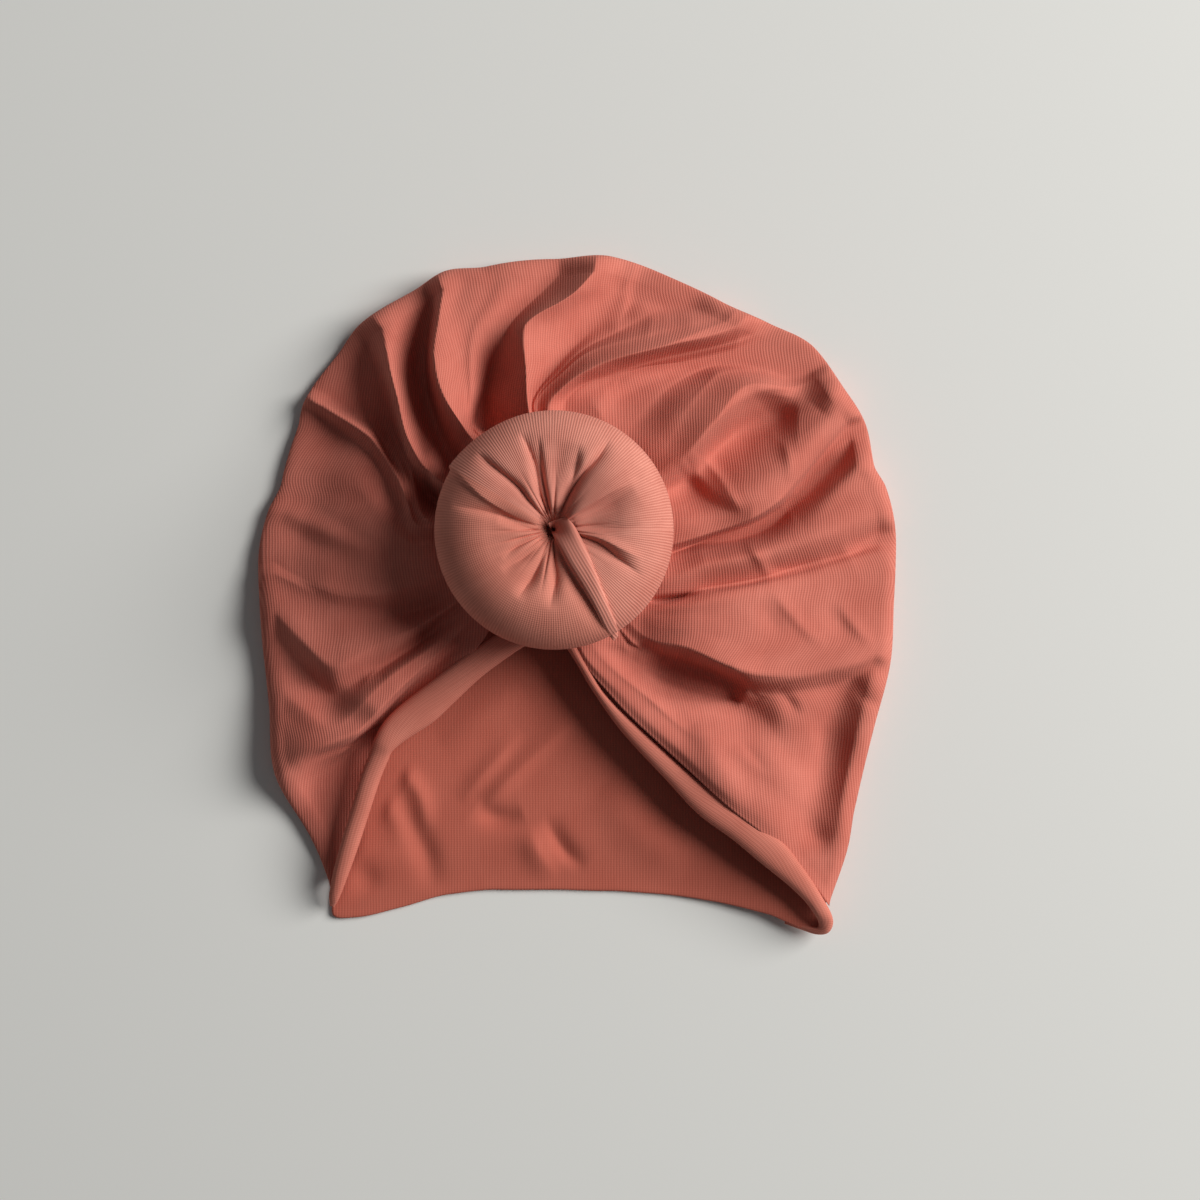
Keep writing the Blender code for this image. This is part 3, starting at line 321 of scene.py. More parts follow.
RIGHT_HEM = (
    HemRow(-1.0, -12.0, -7.0, -9.0, 16.8, 5.0),
    HemRow(1.2, -16.1, -2.9, -15.0, 16.4, 4.6),
    HemRow(4.4, -22.0, 0.6, -20.6, 15.8, 4.4),
    HemRow(8.6, -28.6, 4.2, -26.7, 15.2, 4.4),
    HemRow(18.0, -37.4, 12.2, -38.0, 14.8, 4.4),
    HemRow(31.2, -49.2, 24.2, -51.0, 14.6, 4.6),
    HemRow(41.1, -56.2, 33.2, -60.6, 14.6, 5.0),
    HemRow(49.9, -62.4, 42.4, -67.4, 14.4, 5.0),
    HemRow(57.2, -68.9, 50.2, -73.9, 14.0, 4.8),
    HemRow(63.4, -77.1, 58.0, -80.2, 13.0, 4.6),
    HemRow(67.4, -83.4, 62.9, -85.0, 11.8, 4.4),
    HemRow(69.9, -88.0, 65.6, -88.8, 11.0, 4.4),
    HemRow(70.4, -91.0, 66.4, -90.6, 9.4, 4.6),
    HemRow(69.0, -93.4, 66.2, -91.6, 7.8, 4.4),
    HemRow(65.8, -93.8, 64.6, -91.6, 6.4, 3.4),
    HemRow(61.4, -92.4, 61.2, -90.8, 4.8, 2.0),
    HemRow(57.0, -90.8, 57.2, -90.2, 3.6, 0.8),
)


class Weave(Enum):
    """Which face of the jersey shows."""

    RIBBED = "ribbed face"
    REVERSE = "smoother reverse"
    STRETCHED = "ribs stretched over padding"
    GRID = "ribs and courses alike"


@dataclass(frozen=True)
class Finish:
    """One cloth's colours and feel, with its ribs and courses in mm.

    A fade_length is how far from the start of the cloth its ribs come out in full.
    """

    name: str
    weave: Weave
    light: tuple[float, float, float]
    dark: tuple[float, float, float]
    roughness: float = 0.9
    sheen: float = 0.10
    rib_pitch: float = 0.8
    rib_share: float = 1.0
    course_pitch: float = 0.62
    course_share: float = 0.25
    bump: float = 0.10
    fade_length: float = 0.0


FRONT_JERSEY = Finish("front_jersey", Weave.RIBBED, (0.68, 0.217, 0.162), (0.46, 0.112, 0.079))
BACK_JERSEY = Finish(
    "back_jersey", Weave.REVERSE, (0.57, 0.155, 0.107), (0.45, 0.105, 0.070), rib_share=0.5, bump=0.05
)
HEM_JERSEY = Finish(
    "hem_jersey",
    Weave.GRID,
    (0.70, 0.240, 0.176),
    (0.52, 0.143, 0.100),
    rib_pitch=0.55,
    rib_share=0.4,
    course_pitch=0.5,
    course_share=0.6,
    bump=0.06,
)
COVER_RIBS = Finish(
    "cover_ribs",
    Weave.STRETCHED,
    (0.78, 0.325, 0.248),
    (0.48, 0.143, 0.104),
    course_share=0.2,
    fade_length=18.0,
)
COVER_GRID = Finish(
    "cover_grid", Weave.GRID, (0.76, 0.285, 0.210), (0.50, 0.148, 0.104), course_share=0.7, bump=0.08
)


def smoothstep(value: np.ndarray) -> np.ndarray:
    """0 below 0, 1 above 1, and an even curve between them."""
    bounded = np.clip(value, 0.0, 1.0)
    return bounded * bounded * (3.0 - 2.0 * bounded)


def smooth_curve(x: np.ndarray, known_x: tuple, known_y: tuple) -> np.ndarray:
    """A curve through the known points that never overshoots them.

    Args:
        x: Places at which the curve is read.
        known_x: Places of the known points, rising.
        known_y: Values there.

    Returns:
        The curve's values at x.
    """
    known_x = np.asarray(known_x, float)
    known_y = np.asarray(known_y, float)
    slope = np.diff(known_y) / np.diff(known_x)
    tangent = np.zeros_like(known_y)
    before, after = slope[:-1], slope[1:]
    same_way = before * after > 0
    total = np.where(same_way, before + after, 1.0)
    tangent[1:-1] = np.where(same_way, 2.0 * before * after / total, 0.0)
    tangent[0], tangent[-1] = slope[0], slope[-1]
    place = np.clip(np.searchsorted(known_x, x, side="right") - 1, 0, len(slope) - 1)
    width = (known_x[1:] - known_x[:-1])[place]
    t = np.clip((x - known_x[place]) / width, 0.0, 1.0)
    rise = known_y[place + 1] - known_y[place]
    bend = width * (tangent[place] * (t**3 - 2 * t**2 + t) + tangent[place + 1] * (t**3 - t**2))
    return known_y[place] + rise * (3 * t**2 - 2 * t**3) + bend


def rounded_path(points: np.ndarray, steps: int) -> np.ndarray:
    """Points along a smooth line through the given ones.

    Args:
        points: One row for each point.
        steps: Pieces between two given points.

    Returns:
        The finer rows, from the first given point to the last.
    """
    padded = np.vstack([2 * points[0] - points[1], points, 2 * points[-1] - points[-2]])
    fine = []
    for k in range(1, len(padded) - 2):
        a, b, c, d = padded[k - 1], padded[k], padded[k + 1], padded[k + 2]
        for t in np.arange(steps) / steps:
            curve = 2 * b + (c - a) * t + (2 * a - 5 * b + 4 * c - d) * t**2
            fine.append((curve + (3 * b - a - 3 * c + d) * t**3) / 2)
    fine.append(points[-1])
    return np.array(fine)


def path_lengths(points: np.ndarray) -> np.ndarray:
    """Length from the first of a row of points to each of them."""
    return np.concatenate([[0.0], np.cumsum(np.hypot(*np.diff(points, axis=0).T))])


def strip_faces(here: int, there: int, rows: int) -> list[tuple]:
    """Faces between two columns of points, from the number of each column's first point."""
    return [(here + r, here + r + 1, there + r + 1, there + r) for r in range(rows - 1)]


def round_faces(count: int, rows: int) -> list[tuple]:
    """Faces of a closed body of columns that stand round it, with a face at its top and its bottom.

    Args:
        count: Columns round the body.
        rows: Points of each column.

    Returns:
        Rows of point numbers, column by column.
    """
    faces = []
    for c in range(count):
        faces += strip_faces(c * rows, (c + 1) % count * rows, rows)
    faces.append(tuple(c * rows for c in range(count)))
    faces.append(tuple(c * rows + rows - 1 for c in reversed(range(count))))
    return faces


def tube_faces(rings: int, sides: int) -> list[tuple]:
    """Faces of a tube, ring by ring, with both its ends closed.

    Args:
        rings: Rings along the tube.
        sides: Points of each ring.

    Returns:
        Rows of point numbers.
    """
    faces = []
    for low in range(0, (rings - 1) * sides, sides):
        high = low + sides
        faces += [(low + k, low + (k + 1) % sides, high + (k + 1) % sides, high + k) for k in range(sides)]
    faces.append(tuple(reversed(range(sides))))
    faces.append(tuple((rings - 1) * sides + k for k in range(sides)))
    return faces


@dataclass
class CapPlan:
    """The cap's plan, which gives a place from a bearing and a distance, or from the photo."""

    width: float = 0.1755
    length: float = 0.1862
    photo_step: float = 0.000275
    photo_middle: tuple[float, float] = (577.0, 593.5)

    def __post_init__(self) -> None:
        """Finds the knot's place in the middle of the outline's box."""
        bearings = np.radians(np.arange(0.0, 360.0, 0.25))
        reach = self.raw_reach(np.degrees(bearings))
        x, y = reach * np.cos(bearings), reach * np.sin(bearings)
        self.scale = (self.width / np.ptp(x), self.length / np.ptp(y))
        self.knot = (-(x.max() + x.min()) / 2 * self.scale[0], -(y.max() + y.min()) / 2 * self.scale[1])

    def raw_reach(self, bearing: np.ndarray) -> np.ndarray:
        """Reach of the outline, as a share of the cap's length.

        Args:
            bearing: Bearings in degrees.

        Returns:
            The reach at each of them.
        """
        bearings = [row.bearing + turn for turn in (-360, 0, 360) for row in OUTLINE]
        reaches = [row.reach for _ in range(3) for row in OUTLINE]
        return smooth_curve(np.mod(bearing, 360.0), bearings, reaches)

    def rim(self, bearing: np.ndarray) -> np.ndarray:
        """Distance from the knot's middle to the outline.

        Args:
            bearing: Bearings in degrees.

        Returns:
            The distance at each of them.
        """
        angle = np.radians(bearing)
        reach = self.raw_reach(bearing)
        return np.hypot(reach * np.cos(angle) * self.scale[0], reach * np.sin(angle) * self.scale[1])

    def point(self, bearing: np.ndarray, distance: np.ndarray) -> tuple[np.ndarray, np.ndarray]:
        """Places at a distance from the knot's middle, towards the outline's point of a bearing.

        Args:
            bearing: Bearings in degrees.
            distance: Distances from the knot's middle.

        Returns:
            X and Y of each place.
        """
        angle = np.radians(bearing)
        run = np.cos(angle) * self.scale[0]
        rise = np.sin(angle) * self.scale[1]
        length = np.hypot(run, rise)
        return self.knot[0] + distance * run / length, self.knot[1] + distance * rise / length

    def photo_place(self, across: float, down: float) -> tuple[float, float]:
        """X and Y of a place read off the photo."""
        middle_across, middle_down = self.photo_middle
        return (across - middle_across) * self.photo_step, (middle_down - down) * self.photo_step


class Relief:
    """The finer creases of one cloth, as rises above its broad shape."""

    STEPS = 6
    REACH = 3.2
    ROUND_FALL = 1.0
    SHARP_FALL = 1.7
    FLAT_FALL = 1.1
    FLAT_POWER = 6

    def __init__(self, creases: tuple, placed: Callable[[float, float], tuple[float, float]]) -> None:
        """Lays the creases out in plan.

        Args:
            creases: Rows of Crease.
            placed: Gives X and Y from the first two numbers of a crease's point.
        """
        self.lines = []
        for crease in creases:
            points = np.array([(*placed(first, second), rise * MM) for first, second, rise in crease.line])
            self.lines.append((crease, rounded_path(points, self.STEPS)))

    def rise(self, x: np.ndarray, y: np.ndarray) -> np.ndarray:
        """Rise of all the creases together.

        Args:
            x: X of each place, as a flat array.
            y: Y of each place.

        Returns:
            The rise at each place.
        """
        total = np.zeros(len(x))
        for crease, line in self.lines:
            widest = max(crease.left, crease.right) * MM * self.REACH
            low, high = line[:, :2].min(0) - widest, line[:, :2].max(0) + widest
            near = np.flatnonzero((x > low[0]) & (x < high[0]) & (y > low[1]) & (y < high[1]))
            if len(near):
                total[near] += self.rise_of_one(crease, line, np.column_stack([x[near], y[near]]))
        return total

    def rise_of_one(self, crease: Crease, line: np.ndarray, spots: np.ndarray) -> np.ndarray:
        """Rise of one crease.

        Args:
            crease: Its row, which holds its widths.
            line: Its fine path with its height at each point.
            spots: Places as rows of X and Y.

        Returns:
            The rise at each place.
        """
        nearest = np.full(len(spots), np.inf)
        height = np.zeros(len(spots))
        side = np.zeros(len(spots))
        for start, end in zip(line, line[1:]):
            run = end[:2] - start[:2]
            away = spots - start[:2]
            along = np.clip(away @ run / (run @ run), 0.0, 1.0)
            gap = np.hypot(*(away - along[:, None] * run).T)
            closer = gap < nearest
            nearest = np.where(closer, gap, nearest)
            height = np.where(closer, start[2] + (end[2] - start[2]) * along, height)
            side = np.where(closer, run[0] * away[:, 1] - run[1] * away[:, 0], side)
        reach = nearest / (np.where(side > 0, crease.left, crease.right) * MM)
        rounded = np.exp(-self.ROUND_FALL * reach**2)
        if crease.sharp > 0:
            other = np.exp(-self.SHARP_FALL * reach)
        else:
            other = np.exp(-((self.FLAT_FALL * reach) ** self.FLAT_POWER))
        return height * (rounded + (other - rounded) * abs(crease.sharp))


class ClothShop:
    """Builds meshes of cloth and the node groups and materials that they wear."""

    NO_FADE = 1e6
    KNIT_CONTRAST = 0.7
    STITCH_SHARE = 0.8
    FUZZ_SHARE = 0.35
    FUZZ_SCALE = 3.0
    DRIFT_SCALE = 0.12
    PATCH_SCALE = 0.06
    STREAK_SCALE = (1.6, 0.12, 1.0)
    SHEEN_ROUGHNESS = 0.5
    SHEEN_TINT = (1.0, 0.62, 0.52, 1.0)
    SPECULAR_LEVEL = 0.12

    def __init__(self) -> None:
        """Starts with the two shared effects."""
        self.knit = self.knit_group()
        self.tone = self.tone_group()
        self.made: dict[str, bpy.types.Material] = {}

    @staticmethod
    def group(name: str, inputs: dict[str, float], outputs: tuple) -> bpy.types.NodeTree:
        """A shader node group with a Vector input.

        Args:
            name: Its name.
            inputs: Its number inputs with their first values.
            outputs: Names of its number outputs.

        Returns:
            The group, without nodes.
        """
        tree = bpy.data.node_groups.new(name, "ShaderNodeTree")
        tree.interface.new_socket("Vector", in_out="INPUT", socket_type="NodeSocketVector")
        for label, value in inputs.items():
            socket = tree.interface.new_socket(label, in_out="INPUT", socket_type="NodeSocketFloat")
            socket.default_value = value
        for label in outputs:
            tree.interface.new_socket(label, in_out="OUTPUT", socket_type="NodeSocketFloat")
        return tree

    @staticmethod
    def math(tree: bpy.types.NodeTree, operation: str, *values) -> bpy.types.NodeSocket:
        """The result of a Math node.

        Args:
            tree: The tree that gets the node.
            operation: What the node works out.
            values: Numbers or sockets, in the order of its inputs.

        Returns:
            The node's output.
        """
        node = tree.nodes.new("ShaderNodeMath")
        node.operation = operation
        for socket, value in zip(node.inputs, values):
            if isinstance(value, bpy.types.NodeSocket):
                tree.links.new(value, socket)
            else:
                socket.default_value = value
        return node.outputs[0]

    @staticmethod
    def noise(
        tree: bpy.types.NodeTree, vector: bpy.types.NodeSocket, scale: float, detail: float
    ) -> bpy.types.NodeSocket:
        """A noise value from 0 to 1.

        Args:
            tree: The tree that gets the node.
            vector: Where the noise is read.
            scale: How fine it is.
            detail: How many finer layers it has.

        Returns:
            The node's output.
        """
        node = tree.nodes.new("ShaderNodeTexNoise")
        node.inputs["Scale"].default_value = scale
        node.inputs["Detail"].default_value = detail
        tree.links.new(vector, node.inputs["Vector"])
        return node.outputs["Fac"]

    def knit_group(self) -> bpy.types.NodeTree:
        """Ribs and courses of jersey over the cloth's own lengths in mm.

        Returns:
            The group, with outputs Height and Shade from 0 to 1.
        """
        inputs = {"Rib pitch": 0.8, "Rib share": 1.0, "Course pitch": 0.6, "Course share": 0.3}
        inputs |= {"Wander": 0.5, "Fade": self.NO_FADE}
        tree = self.group("knit_stitches", inputs, ("Height", "Shade"))
        given = tree.nodes.new("NodeGroupInput")
        result = tree.nodes.new("NodeGroupOutput")
        split = tree.nodes.new("ShaderNodeSeparateXYZ")
        tree.links.new(given.outputs["Vector"], split.inputs[0])
        wander = self.noise(tree, given.outputs["Vector"], self.DRIFT_SCALE, 2.0)
        drift = self.math(tree, "SUBTRACT", wander, 0.5)
        waves = []
        for axis, pitch in (("X", "Rib pitch"), ("Y", "Course pitch")):
            shift = self.math(tree, "MULTIPLY", drift, given.outputs["Wander"])
            place = self.math(tree, "ADD", split.outputs[axis], shift)
            turns = self.math(tree, "DIVIDE", place, given.outputs[pitch])
            wave = self.math(tree, "COSINE", self.math(tree, "MULTIPLY", turns, 2 * math.pi))
            waves.append(self.math(tree, "MULTIPLY_ADD", wave, 0.5, 0.5))
        ribs = self.math(tree, "MULTIPLY", waves[0], given.outputs["Rib share"])
        courses = self.math(tree, "MULTIPLY", waves[1], given.outputs["Course share"])
        fuzz = self.noise(tree, given.outputs["Vector"], self.FUZZ_SCALE, 3.0)
        both = self.math(tree, "ADD", ribs, courses)
        total = self.math(tree, "ADD", given.outputs["Rib share"], given.outputs["Course share"])
        even = self.math(tree, "DIVIDE", both, total)
        from_start = self.math(tree, "ABSOLUTE", split.outputs["Y"])
        faded = self.math(tree, "MULTIPLY", from_start, given.outputs["Fade"])
        shown = self.math(tree, "MINIMUM", faded, 1.0)
        even = self.math(tree, "MULTIPLY_ADD", self.math(tree, "SUBTRACT", even, 0.5), shown, 0.5)
        stitches = self.math(tree, "MULTIPLY", even, self.STITCH_SHARE)
        height = self.math(tree, "MULTIPLY_ADD", fuzz, self.FUZZ_SHARE, stitches)
        tree.links.new(height, result.inputs["Height"])
        tree.links.new(even, result.inputs["Shade"])
        return tree

    def tone_group(self) -> bpy.types.NodeTree:
        """Soft uneven tone of worn cloth, with fine streaks along the ribs.

        Returns:
            The group, with the output Tone about 0.5.
        """
        tree = self.group("cloth_tone", {"Streaks": 0.4}, ("Tone",))
        given = tree.nodes.new("NodeGroupInput")
        result = tree.nodes.new("NodeGroupOutput")
        stretch = tree.nodes.new("ShaderNodeMapping")
        stretch.inputs["Scale"].default_value = self.STREAK_SCALE
        tree.links.new(given.outputs["Vector"], stretch.inputs["Vector"])
        streak = self.noise(tree, stretch.outputs[0], 1.0, 2.0)
        patch = self.noise(tree, given.outputs["Vector"], self.PATCH_SCALE, 3.0)
        uneven = self.math(tree, "SUBTRACT", streak, 0.5)
        share = self.math(tree, "MULTIPLY", uneven, given.outputs["Streaks"])
        tree.links.new(self.math(tree, "ADD", patch, share), result.inputs["Tone"])
        return tree

    def material(self, finish: Finish) -> bpy.types.Material:
        """The material of a finish, made once.

        Args:
            finish: Its colours, ribs and feel.

        Returns:
            A material that reads the piece's own UV map in mm.
        """
        if finish.name in self.made:
            return self.made[finish.name]
        material = bpy.data.materials.new(finish.name)
        material.use_nodes = True
        tree = material.node_tree
        shader = tree.nodes["Principled BSDF"]
        shader.inputs["Roughness"].default_value = finish.roughness
        shader.inputs["Sheen Weight"].default_value = finish.sheen
        shader.inputs["Sheen Roughness"].default_value = self.SHEEN_ROUGHNESS
        shader.inputs["Sheen Tint"].default_value = self.SHEEN_TINT
        shader.inputs["Specular IOR Level"].default_value = self.SPECULAR_LEVEL
        lengths = tree.nodes.new("ShaderNodeUVMap")
        lengths.uv_map = UV_NAME
        knit = tree.nodes.new("ShaderNodeGroup")
        knit.node_tree = self.knit
        knit.inputs["Rib pitch"].default_value = finish.rib_pitch
        knit.inputs["Rib share"].default_value = finish.rib_share
        knit.inputs["Course pitch"].default_value = finish.course_pitch
        knit.inputs["Course share"].default_value = finish.course_share
        knit.inputs["Fade"].default_value = 1.0 / finish.fade_length if finish.fade_length else self.NO_FADE
        tone = tree.nodes.new("ShaderNodeGroup")
        tone.node_tree = self.tone
        for node in (knit, tone):
            tree.links.new(lengths.outputs["UV"], node.inputs["Vector"])
        rest = self.math(tree, "SUBTRACT", tone.outputs["Tone"], self.KNIT_CONTRAST / 2)
        blend = self.math(tree, "MULTIPLY_ADD", knit.outputs["Shade"], self.KNIT_CONTRAST, rest)
        mix = tree.nodes.new("ShaderNodeMix")
        mix.data_type = "RGBA"
        mix.clamp_factor = True
        tree.links.new(blend, mix.inputs["Factor"])
        mix.inputs["A"].default_value = (*finish.dark, 1.0)
        mix.inputs["B"].default_value = (*finish.light, 1.0)
        tree.links.new(mix.outputs["Result"], shader.inputs["Base Color"])
        bump = tree.nodes.new("ShaderNodeBump")
        bump.inputs["Distance"].default_value = finish.bump * MM
        tree.links.new(knit.outputs["Height"], bump.inputs["Height"])
        tree.links.new(bump.outputs[0], shader.inputs["Normal"])
        self.made[finish.name] = material
        log.info("%s: %s", finish.name, finish.weave.value)
        return material

    def piece(
        self,
        name: str,
        points: np.ndarray,
        faces: list,
        lengths: np.ndarray,
        finishes: tuple,
        worn: list[int] | None = None,
        turn: float = 0.0,
    ) -> bpy.types.Object:
        """An object of cloth in the scene.

        Args:
            name: Its name.
            points: Rows of X, Y and Z.
            faces: Rows of point numbers, pointing outwards.
            lengths: Each point's place on the cloth in metres, which becomes its UV map in mm.
            finishes: The finishes that it wears.
            worn: The number of the finish of each face, where it wears more than one.
            turn: Length once round a closed piece, where its first length starts again.

        Returns:
            The object, riding on the part's body.
        """
        mesh = bpy.data.meshes.new(name)
        mesh.from_pydata(points.tolist(), [], faces)
        layer = mesh.uv_layers.new(name=UV_NAME)
        corners = np.empty(len(mesh.loops), np.int32)
        mesh.loops.foreach_get("vertex_index", corners)
        place = lengths[corners]
        if turn > 0.0:
            starts = np.concatenate([[0], np.cumsum([len(face) for face in faces])])[:-1]
            reach = np.maximum.reduceat(place[:, 0], starts)
            sizes = np.diff(np.append(starts, len(place)))
            place[:, 0] += np.where(np.repeat(reach, sizes) - place[:, 0] > turn / 2, turn, 0.0)
        layer.data.foreach_set("uv", (place / MM).astype(np.float32).ravel())
        for finish in finishes:
            mesh.materials.append(self.material(finish))
        if worn is not None:
            mesh.polygons.foreach_set("material_index", np.array(worn, np.int32))
        mesh.shade_smooth()
        mesh.update()
        obj = bpy.data.objects.new(name, mesh)
        bpy.context.scene.collection.objects.link(obj)
        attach(obj, BODY)
        log.info("%s: %d triangles", name, sum(len(face) - 2 for face in faces))
        return obj


@dataclass
class CameraPlace:
    """Where the photo was taken from, which the plan's places allow for."""

    x: float = 0.0063
    y: float = -0.0018
    height: float = 0.60
    plan_height: float = 0.004
    lens: float = 65.0

    def brought_in(self, x: np.ndarray, y: np.ndarray, z: np.ndarray) -> tuple[np.ndarray, np.ndarray]:
        """Brings places to where the camera sees them in the plan, once they stand at their own height.

        Args:
            x: X in the plan.
            y: Y in the plan.
            z: Height of each place.

        Returns:
            X and Y at that height.
        """
        near = (self.height - z) / (self.height - self.plan_height)
        return self.x + (x - self.x) * near, self.y + (y - self.y) * near


def cloth_lengths(x: np.ndarray, y: np.ndarray, z: np.ndarray) -> np.ndarray:
    """Lengths over a draped sheet, along the cap's width and along its length.

    Args:
        x: X of each place.
        y: Y of each place.
        z: Height of each place.

    Returns:
        Rows of the two lengths.
    """
    cell, fills, blurs, steepest = MM, 40, 9, 0.9
    low_x, low_y = x.min(), y.min()
    columns = int(np.ptp(x) / cell) + 3
    rows = int(np.ptp(y) / cell) + 3
    across, up = (x - low_x) / cell, (y - low_y) / cell
    total, count = np.zeros((rows, columns)), np.zeros((rows, columns))
    spot = (np.rint(up).astype(int), np.rint(across).astype(int))
    np.add.at(total, spot, z)
    np.add.at(count, spot, 1.0)
    known = count > 0
    height = np.where(known, total / np.maximum(count, 1.0), z.mean())
    for _ in range(fills):
        height = np.where(known, height, blurred(height))
    for _ in range(blurs):
        height = blurred(height)
    lengths = []
    for axis in (1, 0):
        slope = np.clip(np.gradient(height, cell, axis=axis), -steepest, steepest)
        run = np.cumsum(np.sqrt(1.0 + slope**2), axis=axis) * cell
        middle = run.shape[axis] // 2
        run = run - np.take(run, [middle], axis=axis)
        for _ in range(blurs):
            run = blurred(run)
        lengths.append(sampled(run, across, up))
    return np.column_stack(lengths)


def blurred(grid: np.ndarray) -> np.ndarray:
    """A grid with each cell evened out with its neighbours.

    Args:
        grid: Rows of cells.

    Returns:
        A grid of the same size.
    """
    wide = np.pad(grid, 1, mode="edge")
    rows = (wide[:-2] + 2 * wide[1:-1] + wide[2:]) / 4
    return (rows[:, :-2] + 2 * rows[:, 1:-1] + rows[:, 2:]) / 4


def sampled(grid: np.ndarray, across: np.ndarray, up: np.ndarray) -> np.ndarray:
    """Values of a grid between its cells.

    Args:
        grid: Rows of cells.
        across: Columns at which it is read, with parts of a cell.
        up: Rows at which it is read, with parts of a cell.

    Returns:
        The value at each place.
    """
    column = np.clip(across.astype(int), 0, grid.shape[1] - 2)
    row = np.clip(up.astype(int), 0, grid.shape[0] - 2)
    s, t = across - column, up - row
    low = grid[row, column] * (1 - s) + grid[row, column + 1] * s
    high = grid[row + 1, column] * (1 - s) + grid[row + 1, column + 1] * s
    return low * (1 - t) + high * t


